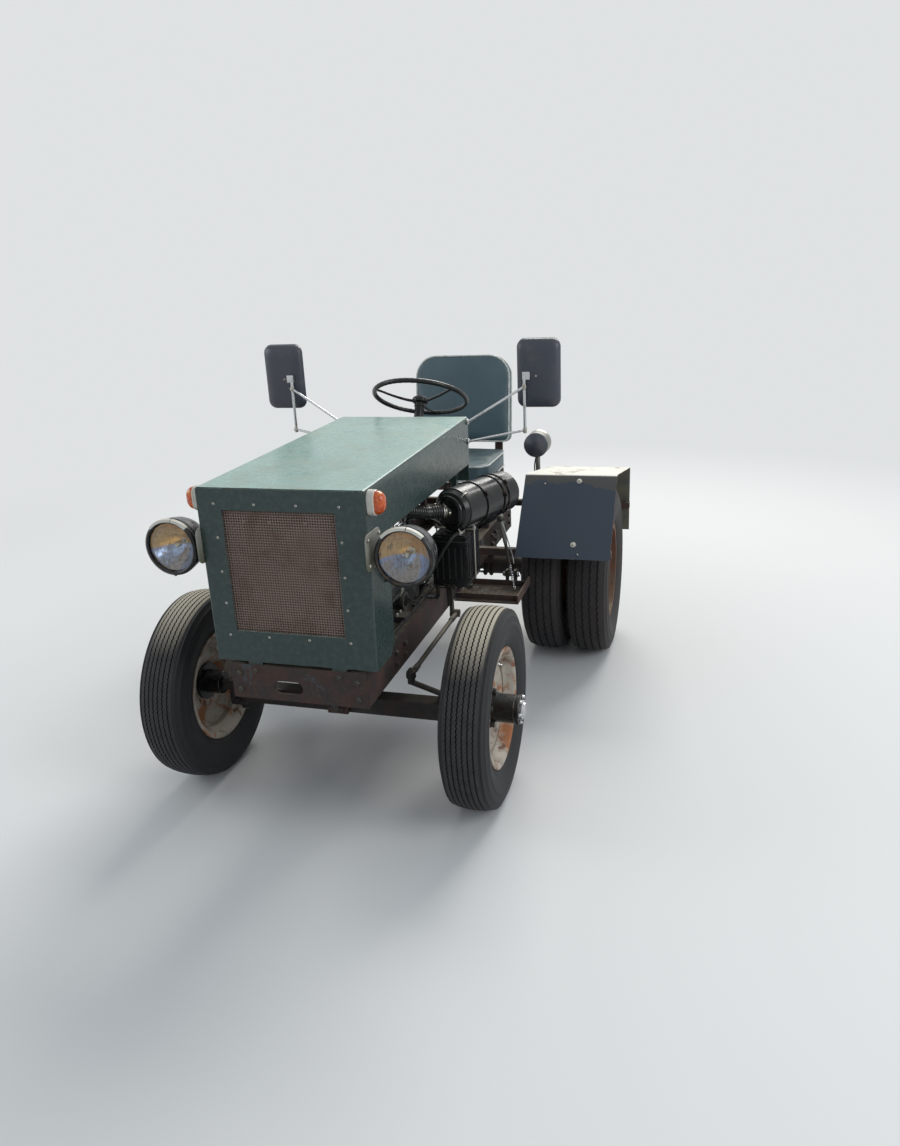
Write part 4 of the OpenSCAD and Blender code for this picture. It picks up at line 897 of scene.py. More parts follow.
def make_front_panel():
    bm = bmesh.new()
    half = PANEL_HALF - 0.0002
    bend = [(half - PANEL_FOLD + PANEL_FOLD * math.sin(a), PANEL_FOLD - PANEL_FOLD * math.cos(a))
            for a in spread(math.pi / 2, 0, 6)]
    left_side = [(half, FLANGE), (half, 0.013)] + bend
    left_flat = [(half, 0.0)] * 3 + [(x, 0.0) for x in spread(half, half - PANEL_FOLD, 6)[1:]]
    inner = spread(half - PANEL_FOLD, MESH_X + MESH_W / 2, 6)[1:]
    across = spread(MESH_X + MESH_W / 2, MESH_X - MESH_W / 2, 17)[1:]
    outer = spread(MESH_X - MESH_W / 2, PANEL_FOLD - half, 7)[1:-1]
    face = [(x, 0.0) for x in inner + across + outer]
    section = left_side + face + [(-x, y) for x, y in reversed(left_side)]
    flat_section = left_flat + face + [(-x, y) for x, y in reversed(left_flat)]
    mesh_low, mesh_high = MESH_Z - MESH_H / 2, MESH_Z + MESH_H / 2
    rows = spread(PANEL_FOOT, mesh_low, 6) + spread(mesh_low, TURNED_TO, 14)[1:]
    rows += spread(HOOD_SIDE_Z, mesh_high, 5) + spread(mesh_high, PANEL_TOP, 9)[1:]
    grid = []
    for z in rows:
        line = []
        for x, y in section if z <= TURNED_TO else flat_section:
            corner = max(0.0, z - (HOOD_FRONT_Z - HOOD_FOLD)) / HOOD_FOLD
            reach = half - HOOD_FOLD * (1 - math.sqrt(max(0.0, 1 - corner ** 2)))
            x = max(-reach, min(reach, x))
            jag = 0.0025 * wave((x, 0, 0), 22.0, 5.0) + 0.0015 if z == rows[0] else 0.0
            p = at(x, y, z + jag)
            if y == 0.0:
                p.y += 0.0006 + 0.0006 * wave(p, 5.0, 2.0)
            line.append(p)
        grid.append(line)

    def in_hole(i, j):
        x = (section[j][0] + section[j + 1][0]) / 2
        z = (rows[i] + rows[i + 1]) / 2
        out = min(j, len(section) - 2 - j)
        turned_up = z > HOOD_SIDE_Z and out < 2
        slit = TURNED_TO < z < HOOD_SIDE_Z and out < 7
        return turned_up or slit or (abs(x - MESH_X) < MESH_W / 2 and abs(z - MESH_Z) < MESH_H / 2)

    thick_sheet(bm, grid, -SHEET, in_hole)
    for s in SIDES:
        plate(bm, [(PANEL_FOLD + 0.003, PANEL_FOOT), (0.127, PANEL_FOOT), (0.165, PANEL_FOOT + 0.038),
                   (0.165, TURNED_TO), (PANEL_FOLD + 0.003, TURNED_TO)],
              Vector((s * (half - 0.0031), NOSE_Y, 0)), (1, 0, 0), 0.003 * s,
              edge=0.0004, up_hint=UP)
        x0, x1 = sorted((s * 0.120, s * 0.170))
        plate(bm, [(x0, 0.5852), (x1, 0.5852), (x1, PANEL_FOOT + 0.02), (x0, PANEL_FOOT + 0.02)],
              at(0, 0.0031, 0), FORWARD, -0.0028, edge=0.0004, up_hint=UP)
    panel = finish_piece("front_sheet", bm, green_paint, crease=180)
    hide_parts("front_panel")
    return soften(panel, 0.0007)


make_front_panel()

# %% [markdown]
# ### Woven mesh
#
# The mesh is crimped wire, woven over and under. Each wire is a small pipe whose path steps
# forward and back at every crossing, and the crossing wires step the other way, so that they
# truly pass one another. A bump map could not be seen through, and here the radiator shows.

# %% Woven wires behind the opening
PITCH_WIRE, WIRE_R = 0.00845, 0.0016


def make_mesh():
    bm = bmesh.new()
    cols, rows = int(MESH_W / PITCH_WIRE) + 2, int(MESH_H / PITCH_WIRE) + 2
    x0 = MESH_X - (cols - 1) / 2 * PITCH_WIRE
    z0 = MESH_Z - (rows - 1) / 2 * PITCH_WIRE
    middle_y, swing = 0.0072, 0.0019

    def belly(x, z):
        return 0.0016 * wave((x, 0, z), 7.0, 4.0)

    for c in range(cols):
        for_row = []
        for k in range(2 * (rows + 1) + 1):
            z = z0 + (k / 2 - 1) * PITCH_WIRE
            sway = math.cos(math.pi * (k / 2 - 1 + c)) * swing
            x = x0 + c * PITCH_WIRE + 0.0005 * wave((c, k * 0.1, 0), 0.9)
            for_row.append(at(x, middle_y + sway + belly(x, z), z))
        pipe(bm, for_row, WIRE_R, 5, caps=False)
    for r in range(rows):
        for_col = []
        for k in range(2 * (cols + 1) + 1):
            x = x0 + (k / 2 - 1) * PITCH_WIRE
            sway = -math.cos(math.pi * (k / 2 - 1 + r)) * swing
            z = z0 + r * PITCH_WIRE + 0.0005 * wave((r, k * 0.1, 5), 0.9)
            for_col.append(at(x, middle_y + sway + belly(x, z), z))
        pipe(bm, for_col, WIRE_R, 5, caps=False)
    mesh = finish_piece("woven_mesh", bm, mesh_wire, crease=60)
    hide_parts("grille_mesh")


make_mesh()

# %% Clamping strips and the fourteen screws
SCREW_X = (-0.219, -0.082, 0.056, 0.194)
SCREW_Z = (1.117, 1.009, 0.899, 0.794, 0.686)


def make_panel_screws():
    bm = bmesh.new()
    for i, x in enumerate(SCREW_X):
        for j, z in enumerate(SCREW_Z):
            if i in (0, 3) or j in (0, 4):
                turned(bm, mm((0, 0), (7.5, 0), (7.2, 1.2), (0, 1.4)), at(x, 0.0008, z), FORWARD, 18)
                dome_screw(bm, at(x, -0.0005, z), FORWARD, 5.2, 3.2)
    finish_piece("panel_screws", bm, zinc, crease=32)
    bm = bmesh.new()
    strip = 0.03
    for end in (1, -1):
        for x, z, w, h in ((MESH_X, MESH_Z + end * (MESH_H / 2 + 0.024), MESH_W + 0.09, strip),
                           (MESH_X + end * (MESH_W / 2 + 0.028), MESH_Z, strip, MESH_H + 0.07)):
            plate(bm, round_box(w, h, 0.003, 2), at(x, 0.0125, z), FORWARD, 0.0035, 0.0005, UP)
    finish_piece("mesh_strips", bm, frame_steel, crease=32)


make_panel_screws()

# %% [markdown]
# ## Lamps
#
# A headlamp is a deep black bucket, a thin dark rim, a bowl that mirrors, a bulb with a shield
# and a lens whose back is fluted to spread the beam sideways. All of these are turned forms, and
# the lens is real glass with the flutes cut into its inner face, because they bend what is seen
# through it. A pale trim strip clips over the top of the rim.

# %% Headlamp buckets, rims and trim
LAMP_X, LAMP_Z, LAMP_R, LAMP_DEEP = 0.385, 0.972, 0.092, 0.120


def lamp_place(side, y=0.0):
    return at(side * LAMP_X, y, LAMP_Z)


def make_lamp_shells():
    bm = bmesh.new()
    for s in SIDES:
        wall = [(LAMP_R - 0.0125, -0.002), (LAMP_R - 0.011, -0.010), (LAMP_R - 0.0065, -0.0125),
                (LAMP_R - 0.0015, -0.010), (LAMP_R, -0.004), (LAMP_R - 0.0005, 0.004),
                (LAMP_R - 0.004, 0.009), (LAMP_R - 0.004, 0.013), (LAMP_R - 0.002, 0.015),
                (LAMP_R - 0.003, 0.019), (LAMP_R - 0.0055, 0.040), (LAMP_R - 0.011, 0.066),
                (LAMP_R - 0.020, 0.087), (LAMP_R - 0.033, 0.104), (LAMP_R - 0.052, 0.115),
                (0.018, LAMP_DEEP), (0.016, LAMP_DEEP + 0.004), (0, LAMP_DEEP + 0.004)]
        turned(bm, [(r, -h) for r, h in wall], lamp_place(s), FORWARD, 72)
        pipe(bm, bend_through([lamp_place(s, 0.112) + Vector((-s * 0.02, 0, -0.02)),
                               lamp_place(s, 0.135) + Vector((-s * 0.04, 0, -0.05)),
                               at(s * 0.300, 0.120, 0.870), at(s * 0.262, 0.110, 0.845)], 6), 0.0035, 8)
    shells = finish_piece("headlamp_buckets", bm, black_paint, crease=50)
    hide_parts("headlamp_shells")
    bm = bmesh.new()
    for s in SIDES:
        ring = [(LAMP_R - 0.0128, -0.0015), (LAMP_R - 0.0122, -0.0118), (LAMP_R - 0.0098, -0.0138),
                (LAMP_R - 0.0070, -0.0130), (LAMP_R - 0.0062, -0.0115)]
        turned(bm, [(r, -h) for r, h in ring], lamp_place(s), FORWARD, 96)
        dome_screw(bm, lamp_place(s, -0.006) + Vector((0, 0, -LAMP_R)), (0, -0.3, -1), 4, 3)
    finish_piece("headlamp_rims", bm, black_paint, crease=40)
    bm = bmesh.new()
    for s in SIDES:
        for a0, a1 in ((-46, 8), (9.5, 44)):
            grid = []
            for a in spread(math.radians(90 - a0), math.radians(90 - a1), 16):
                grid.append([lamp_place(s, y) + Vector((r * math.cos(a), 0, r * math.sin(a)))
                             for r, y in ((LAMP_R - 0.0080, -0.0150), (LAMP_R - 0.0005, -0.0135),
                                          (LAMP_R + 0.0016, -0.008), (LAMP_R + 0.0016, -0.002))])
            thick_sheet(bm, grid, 0.0012)
    finish_piece("headlamp_trims", bm, pale_plastic, crease=40)


make_lamp_shells()

# %% Mirrors, bulbs and lenses
def make_lamp_insides():
    bm = bmesh.new()
    bowl = [(LAMP_R - 0.0145, 0.0), (LAMP_R - 0.016, 0.004)]
    bowl += [(r, 0.072 - 0.068 * (r / 0.076) ** 2) for r in spread(0.0755, 0.010, 14)]
    for s in SIDES:
        turned(bm, [(r, -h) for r, h in bowl], lamp_place(s), FORWARD, 72)
    finish_piece("headlamp_mirrors", bm, lamp_mirror, crease=80)
    bm = bmesh.new()
    for s in SIDES:
        base = lamp_place(s, 0.071)
        turned(bm, mm((0, 0), (12, 0), (12, 8), (7, 10), (0, 10)), base, FORWARD, 24)
        shield = mm((9.5, 30), (9.5, 44), (6, 48), (0, 48.5))
        turned(bm, shield, base, FORWARD, 24)
        for x in (0.0085, -0.0085):
            foot = base + Vector((x, 0, 0))
            pipe(bm, [foot, foot + Vector((0, -0.032, 0))], 0.0011, 6)
    finish_piece("headlamp_bulbs", bm, zinc, crease=40)
    bm, lens_r, around = bmesh.new(), LAMP_R - 0.013, 160
    for s in SIDES:
        rings = []
        for r in spread(0.0, lens_r, 18)[1:]:
            angles = [math.tau * i / around for i in range(around)]
            rings.append([(r * math.cos(a), r * math.sin(a), r / lens_r) for a in angles])

        def outer(x, z, share):
            return lamp_place(s) + Vector((x, -0.0045 - 0.0095 * (1 - share ** 2.2), z))

        def inner(x, z, share):
            flute = abs(math.sin(math.pi * x / 0.0095)) if z > -0.036 else abs(math.sin(math.pi * x / 0.019))
            flute *= min(1.0, (1 - share) * 8)
            return lamp_place(s) + Vector((x, -0.0015 - 0.0085 * (1 - share ** 2.2) + 0.0012 * flute, z))

        front = [[bm.verts.new(outer(*p)) for p in ring] for ring in rings]
        back = [[bm.verts.new(inner(*p)) for p in ring] for ring in rings]
        for rows in (front, back):
            for a, b in zip(rows, rows[1:]):
                for i in range(around):
                    bm.faces.new((a[i], a[i - 1], b[i - 1], b[i]))
            bm.faces.new(rows[0])
        for i in range(around):
            bm.faces.new((front[-1][i], front[-1][i - 1], back[-1][i - 1], back[-1][i]))
    lenses = finish_piece("headlamp_glass", bm, lens_glass, crease=60)
    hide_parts("headlamp_lenses")


make_lamp_insides()

# %% [markdown]
# Each headlamp hangs on a plate that is bolted to the side of the nose, with a short arm between them. The
# plate is khaki, paler grey towards its top, partly as painted highlight for the sun there. It has round
# corners and stands a little ahead of the panel.

# %% Headlamp brackets
def make_lamp_brackets():
    bm = bmesh.new()
    for s in SIDES:
        outline = round_box(0.120, 0.115, 0.022, 5)
        plate(bm, outline, at(s * 0.2762, 0.032, 0.9825), (s, 0, 0), 0.0035, 0.0006, UP)
        arm = [at(s * 0.2790, 0.050, 0.965), at(s * 0.292, 0.052, 0.968),
               at(s * (LAMP_X - LAMP_R + 0.004), 0.052, 0.970),
               at(s * (LAMP_X - LAMP_R + 0.020), 0.056, 0.972)]
        pipe(bm, bend_through(arm, 4), 0.0105, 14)
        turned(bm, mm((0, 0), (19, 0), (19, 4), (13, 8), (0, 8)), at(s * 0.2795, 0.050, 0.965), (s, 0, 0), 28)
    finish_piece("headlamp_brackets", bm, bracket_paint, crease=40)
    bm = bmesh.new()
    for s in SIDES:
        for y, z in ((-0.012, 1.022), (0.076, 1.022), (-0.012, 0.943), (0.076, 0.943)):
            bolt(bm, at(s * 0.2797, y, z), (s, 0, 0), 10, 4)
        bolt(bm, at(s * (LAMP_X - LAMP_R - 0.001), 0.036, 0.972), FORWARD, 10, 4)
    finish_piece("headlamp_bracket_bolts", bm, zinc, crease=32)


make_lamp_brackets()

# %% [markdown]
# ### Turn lamps
#
# On each top corner sits a turn lamp: a white base with a seam, and an amber dome with fine
# ribs moulded in. The dome is a stack of rounded outlines that shrink as an ellipse does.

# %% Turn lamps on the corners
TURN_Z, TURN_Y, TURN_H, TURN_W = 1.125, 0.034, 0.078, 0.052


def turn_ring(side, out, inset, share=1.0):
    """The turn lamp's outline at a distance from the hood, drawn in by an inset and a share."""
    corner = TURN_W / 2 - 0.001 - inset
    return [at(side * (HOOD_HALF + out), TURN_Y + u * share, TURN_Z + v * share)
            for u, v in round_box(TURN_W - 2 * inset, TURN_H - 2 * inset, corner, 9)]


def make_turn_lamps():
    bm = bmesh.new()
    for s in SIDES:
        skin(bm, [turn_ring(s, 0.0005, 0.0), turn_ring(s, 0.014, 0.0004), turn_ring(s, 0.0145, 0.0014),
                  turn_ring(s, 0.016, 0.0014), turn_ring(s, 0.0165, 0.0002), turn_ring(s, 0.021, 0.0004),
                  turn_ring(s, 0.0222, 0.002)], caps=True)
    finish_piece("turn_lamp_bases", bm, pale_plastic, crease=40)
    bm = bmesh.new()
    for s in SIDES:
        rings = [turn_ring(s, 0.0222, 0.0035), turn_ring(s, 0.026, 0.0036)]
        for k in range(1, 13):
            a = math.pi / 2 * k / 13
            rings.append(turn_ring(s, 0.026 + 0.0255 * math.sin(a), 0.0036, math.cos(a) ** 0.8))
        skin(bm, rings, caps=True)
        for z in spread(-0.026, 0.026, 9):
            reach = math.sqrt(1 - (z / 0.036) ** 2)
            path = [at(s * (HOOD_HALF + 0.0254 + 0.0240 * math.cos(a) * reach),
                       TURN_Y + 0.0212 * reach * math.sin(a), TURN_Z + z) for a in spread(-1.35, 1.35, 14)]
            pipe(bm, path, 0.0012, 6)
    domes = finish_piece("turn_lamp_domes", bm, amber, crease=26)
    bm = bmesh.new()
    for s in SIDES:
        for v in (-0.034, 0.034):
            dome_screw(bm, at(s * (HOOD_HALF + 0.0222), TURN_Y, TURN_Z + v), (s, 0, 0), 3, 2)
    finish_piece("turn_lamp_screws", bm, chrome, crease=32)
    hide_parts("indicators")


make_turn_lamps()

# %% [markdown]
# ## Tyres and wheels
#
# The front tyres are ribbed road tyres: six fine zigzag grooves run round a flat tread, the
# shoulders are smooth and dusty, and thin rings stand out on the sidewalls. The rear ones are
# worn, with four straight-sided grooves. One function draws both. It walks across the tyre's
# section, sets each groove's points down, and shifts them sideways by turns as it goes round,
# which is what makes the zigzag.

# %% A tyre from its section
SIDEWALL = [(0.00, 0.62), (0.05, 0.66), (0.12, 0.72), (0.20, 0.80), (0.205, 0.815), (0.22, 0.815),
            (0.225, 0.805), (0.34, 0.90), (0.46, 0.96), (0.58, 0.995), (0.585, 1.005), (0.605, 1.006),
            (0.61, 0.998), (0.70, 0.985), (0.78, 0.955), (0.785, 0.962), (0.80, 0.958), (0.805, 0.945),
            (0.88, 0.885), (0.94, 0.835)]


def tyre(bm, centre_x, axle, side, radius, width, bead, tread_half, grooves, teeth, depth, swing,
         crown=0.006, cut=0.0021):
    """Adds a tyre. Its grooves run zigzag: every second row of points is shifted by the swing."""
    tall, half = radius - bead, width / 2
    left = [(bead + h * tall, w * half, 0.0, 0.0) for h, w in SIDEWALL]
    right = [(r, -x, d, s) for r, x, d, s in reversed(left)]
    shoulder = tread_half + 0.004
    ribs = [(shoulder, -0.0035, 0.0), (tread_half, -0.0008, 0.0)]
    for k in reversed(range(grooves)):
        g = (k - (grooves - 1) / 2) / (grooves / 2) * tread_half * 0.92
        for offset, down in ((cut + 0.0003, 0.0), (cut - 0.0005, -depth), (0.0005 - cut, -depth),
                             (-cut - 0.0003, 0.0)):
            ribs.append((g + offset, down, 1.0))
    ribs += [(-tread_half, -0.0008, 0.0), (-shoulder, -0.0035, 0.0)]
    tread = [(radius + down - crown * (x / tread_half) ** 2, x, down, zig) for x, down, zig in ribs]
    inner = [(bead + 0.002, -0.50 * half, 0, 0), (bead + 0.010, -0.46 * half, 0, 0),
             (bead + 0.6 * tall, -0.86 * half, 0, 0), (radius - 0.022, -0.6 * half, 0, 0)]
    inner += [(r, -x, 0, 0) for r, x, down, zig in reversed(inner)]
    section, rings = left + tread + right + inner, []
    for i in range(2 * teeth):
        a = math.pi * i / teeth
        shift = swing if i % 2 else -swing
        rings.append([Vector((side * (centre_x + x + shift * zig), axle.y + r * math.cos(a),
                              axle.z + r * math.sin(a))) for r, x, down, zig in section])
    skin(bm, rings, closed=True, wrap=True)


def make_front_tyres():
    for s, side in NAMED_SIDES:
        bm = bmesh.new()
        tyre(bm, 0.531, FRONT_AXLE, s, 0.345, 0.159, 0.190, 0.056, 6, 128, 0.0075, 0.0017)
        piece = finish_piece("front_tyre_tread_" + side, bm, front_rubber, "front_wheel_" + side, crease=36)
        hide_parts("front_tyre_" + side)


def make_rear_tyres():
    for s, side in NAMED_SIDES:
        bm = bmesh.new()
        for x in (0.528, 0.733):
            tyre(bm, x, REAR_AXLE, s, 0.385, 0.185, 0.202, 0.070, 4, 72, 0.0065, 0.0026, crown=0.007,
                 cut=0.0034)
        piece = finish_piece("rear_tyre_treads_" + side, bm, rear_rubber, "rear_wheels_" + side, crease=36)
        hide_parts("rear_tyres_" + side)


make_front_tyres()
make_rear_tyres()

# %% [markdown]
# ### Front rims and hubs
#
# The front rims are pressed steel, painted off-white, with orange rust where stones have hit.
# The hubs are heavy black drums that reach far out beyond the tyre and end in a bright bolted
# cap. Both are turned round the axle, so a list of radii and distances is all they need.

# %% Pressed rims, drums and caps
def make_front_wheels():
    for s, side in NAMED_SIDES:
        centre = Vector((s * 0.531, FRONT_AXLE.y, FRONT_AXLE.z))
        body = "front_wheel_" + side
        bm = bmesh.new()
        inner = mm((203, 62.7), (196, 61.2), (188, 54.2), (184.5, 36), (176, 28), (170, 22))
        outer = mm((174.2, 20), (180, 26), (188.5, 32), (190.5, 47.2), (196, 52.2), (204, 53.7),
                   (208.6, 58.2), (208, 61.2))
        outer = [(r, -x) for r, x in reversed(outer)] + outer
        inner = inner + [(r, -x) for r, x in reversed(inner)]
        turned(bm, outer + inner + outer[:1], centre, (s, 0, 0), 96)
        disc = mm((171.5, 3), (169, 9), (160, 15.5), (150, 22.5), (138, 24.5), (124, 23), (110, 17),
                  (98, 15), (88, 20), (78, 24), (48, 24), (48, 17), (76, 17), (86, 13), (97, 8.5),
                  (111, 10.5), (125, 16.5), (137.5, 18), (148, 16), (157, 9), (165, 2), (170.5, -3),
                  (171.5, 3))
        turned(bm, disc, centre, (s, 0, 0), 96)
        rim = finish_piece("front_rim_" + side, bm, front_rim_paint, body, crease=40)
        bm = bmesh.new()
        hub = mm((17.2, -61), (41.5, -61), (43, -59), (43, 4), (68, 5), (68, 16.5), (48, 16.8), (49, 26),
                 (47.5, 28), (47.5, 34), (49, 36), (49, 104), (47.5, 106), (47.5, 110), (50.5, 112),
                 (50.5, 120), (49, 122), (33, 123.5))
        turned(bm, hub, centre, (s, 0, 0), 64)
        for a, way in all_round("x", 5, 0.3):
            bolt(bm, centre + Vector((s * 0.0240, 0, 0)) + way * 0.0585, (s, 0, 0), 19, 14, spin=a)
        finish_piece("front_hub_" + side, bm, black_paint, body, crease=36)
        bm = bmesh.new()
        cap = mm((33, 122.5), (33.5, 130), (30, 133), (27, 133.5), (25.5, 137.5), (18, 138.5), (0, 138.8))
        turned(bm, cap, centre, (s, 0, 0), 48)
        for a, way in all_round("x", 6):
            bolt(bm, centre + Vector((s * 0.1235, 0, 0)) + way * 0.0420, (s, 0, 0), 10, 6.5, spin=a)
        turned(bm, mm((4.2, 0), (4.2, 16), (3, 18), (3, 26), (0, 27)),
               centre + Vector((s * 0.036, 0, 0.166)), (s, 0, -0.35), 12)
        finish_piece("front_hub_cap_" + side, bm, bright_rod, body, crease=36)
        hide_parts("front_wheel_" + side)


make_front_wheels()

# %% Nuts and half-shaft bolts on the twin rear wheels
def make_rear_nuts():
    for s, side in NAMED_SIDES:
        bm = bmesh.new()
        join = 0.6305
        face = Vector((s * (join + 0.0085), REAR_AXLE.y, REAR_AXLE.z))
        for a, way in all_round("x", 6, 0.2):
            place = face + way * 0.104
            pipe(bm, [place, place + Vector((s * 0.030, 0, 0))], 0.0068, 10)
            bolt(bm, place, (s, 0, 0), 27, 19, spin=a)
        for a, way in all_round("x", 6):
            bolt(bm, Vector((s * (join + 0.0602), REAR_AXLE.y, REAR_AXLE.z)) + way * 0.053, (s, 0, 0), 13, 7,
                 spin=a)
        finish_piece("rear_wheel_nuts_" + side, bm, axle_steel, "rear_wheels_" + side)


make_rear_nuts()

# %% [markdown]
# ## Seat
#
# The seat is a worn van seat in dark green vinyl: a thick cushion with rounded corners and a
# high backrest, both sewn from two faces and a border, with pale piping in the seams. Padding
# swells between its seams, so each pad starts a little small, is blown up by a short cloth
# simulation, and is then capped so that it stays in its room. The piping is laid afterwards on
# the edge that was held still.

# %% Swell a pad with cloth
def pad_outline(w, h, corners):
    """A rounded outline whose four corners may differ, counterclockwise from the upper right."""
    points = []
    for k, r in enumerate(corners):
        points += [Vector(p) for p in round_box(w, h, r, 9)[10 * k:10 * k + 10]]
    return points


def soft_pad(name, outline, thick, frame_of, grow, body):
    """A closed pad round a flat outline, swelled by cloth, its seams held."""
    bm = bmesh.new()
    centre = sum(outline, Vector((0, 0))) / len(outline)
    rings = []
    shape = [(0.10, 0.10), (0.03, 0.03), (0.0, 0.10), (-0.004, 0.5), (0.0, 0.90), (0.03, 0.97), (0.10, 1.0)]
    for inset, h in shape:
        ring = []
        for p in outline:
            out = (p - centre).normalized()
            ring.append(frame_of @ Vector((*(p - out * inset * 0.12), (h - 0.5) * thick)))
        rings.append(ring)
    skin(bm, rings, caps=True)
    bmesh.ops.recalc_face_normals(bm, faces=bm.faces)
    mesh = bpy.data.meshes.new(name)
    bm.to_mesh(mesh)
    bm.free()
    pad = bpy.data.objects.new(name, mesh)
    scene.collection.objects.link(pad)
    remesh = pad.modifiers.new("voxels", "REMESH")
    remesh.mode = "VOXEL"
    remesh.voxel_size = 0.0065
    dg = bpy.context.evaluated_depsgraph_get()
    grown = bpy.data.meshes.new_from_object(pad.evaluated_get(dg))
    pad.modifiers.clear()
    pad.data = grown
    start = [v.co.copy() for v in grown.vertices]
    back = frame_of.inverted()
    held = pad.vertex_groups.new(name="seams")
    for v in grown.vertices:
        p = back @ v.co
        edge_gap = min((Vector((p.x, p.y)) - q).length for q in outline)
        if edge_gap < 0.016 and abs(abs(p.z) - thick * 0.40) < thick * 0.1:
            held.add([v.index], 1.0, "REPLACE")
    cloth = pad.modifiers.new("swell", "CLOTH")
    cloth.settings.use_pressure = True
    cloth.settings.uniform_pressure_force = 4.0
    cloth.settings.effector_weights.gravity = 0
    cloth.settings.vertex_group_mass = "seams"
    cloth.settings.tension_stiffness = 12
    cloth.settings.compression_stiffness = 12
    for f in range(1, 21):
        scene.frame_set(f)
    dg = bpy.context.evaluated_depsgraph_get()
    swelled = bpy.data.meshes.new_from_object(pad.evaluated_get(dg))
    pad.modifiers.clear()
    for v, w, s in zip(grown.vertices, swelled.vertices, start):
        move = w.co - s
        v.co = s + move * min(1.0, grow / max(move.length, 1e-9))
    scene.frame_set(1)
    pad.vertex_groups.clear()
    for face in grown.polygons:
        face.use_smooth = True
    pad.modifiers.new("even", "SMOOTH").iterations = 6
    pad.data.materials.append(green_vinyl)
    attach(pad, body)
    print("padded", name, len(grown.vertices), "points")
    return pad


def piping(bm, outline, frame_of, height):
    centre = sum(outline, Vector((0, 0))) / len(outline)
    path = [frame_of @ Vector((*(p + (p - centre).normalized() * MM), height)) for p in outline]
    pipe(bm, path, 0.0042, 8, wrap=True)


cushion_low, cushion_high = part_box("seat_cushion")
print("cushion", [round(v, 3) for v in (cushion_high - cushion_low)])

# %% Cushion and backrest
SEAT_W, SEAT_L, SEAT_T = 0.480, 0.430, 0.105
BACK_W, BACK_H, BACK_T, BACK_LEAN = 0.500, 0.435, 0.090, math.radians(8)


def make_seat():
    place = Matrix.Translation(at(0, 1.600 + SEAT_L / 2, 0.800 + SEAT_T / 2))
    outline = pad_outline(SEAT_W - 0.016, SEAT_L - 0.016, (0.055, 0.055, 0.06, 0.06))
    cushion = soft_pad("seat_cushion_pad", outline, SEAT_T - 0.020, place, 0.012, "chassis")
    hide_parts("seat_cushion")
    foot = at(0, 1.600 + SEAT_L, 0.800 + SEAT_T + 0.020)
    lean = Matrix.Translation(foot) @ Matrix.Rotation(-BACK_LEAN, 4, "X")
    stand = lean @ Matrix.Translation((0, BACK_T / 2, BACK_H / 2)) @ Matrix.Rotation(math.pi / 2, 4, "X")
    outline_back = pad_outline(BACK_W - 0.016, BACK_H - 0.010, (0.105, 0.105, 0.03, 0.03))
    backrest = soft_pad("seat_back_pad", outline_back, BACK_T - 0.020, stand, 0.011, "chassis")
    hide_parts("seat_back")
    bm = bmesh.new()
    for h in (0.40, -0.40):
        piping(bm, outline, place, h * (SEAT_T - 0.020))
        piping(bm, outline_back, stand, h * (BACK_T - 0.020))
    finish_piece("seat_piping", bm, pale_piping, crease=60)


make_seat()

# %% [markdown]
# ## Steering wheel, dash and mirrors
#
# The wheel is thin and nearly flat, with three spokes and a round cap. Its rim has shallow finger
# grips on the underside. The dash carries two plain round gauges with numbers left off.

# %% Steering wheel
WHEEL_AT, WHEEL_LEAN = at(0, 1.400, 1.240), math.radians(28)


def make_steering_wheel():
    turn = Matrix.Translation(WHEEL_AT) @ Matrix.Rotation(-WHEEL_LEAN, 4, "X")
    bm = bmesh.new()
    ring = [turn @ (way * 0.2015) for _, way in all_round("z", 144)]
    pipe(bm, ring, [0.0104 + 0.0004 * math.cos(math.tau * i / 3) for i in range(144)], 16, wrap=True)
    spoke = ((0.018, -0.020), (0.06, -0.021), (0.12, -0.014), (0.17, -0.004), (0.196, 0.0))
    for _, way in all_round("z", 3, math.pi / 2):
        path = [turn @ (way * r + Vector((0, 0, z))) for r, z in spoke]
        pipe(bm, bend_through(path, 5), [0.0075 - 0.002 * min(1, i / 12) for i in range(21)], 12)
    axis = turn.to_3x3() @ Vector(UP)
    hub = mm((0, -46), (22, -46), (24, -44), (24, -30), (33, -26), (35, -22), (35, -10), (32, -5), (26, -3),
             (24.5, -4.2), (22, 1), (12, 4), (0, 4.6))
    turned(bm, hub, WHEEL_AT, axis, 48)
    wheel = finish_piece("steering_wheel_rim", bm, black_paint, "steering_wheel", crease=40)
    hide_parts("steering_wheel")


make_steering_wheel()

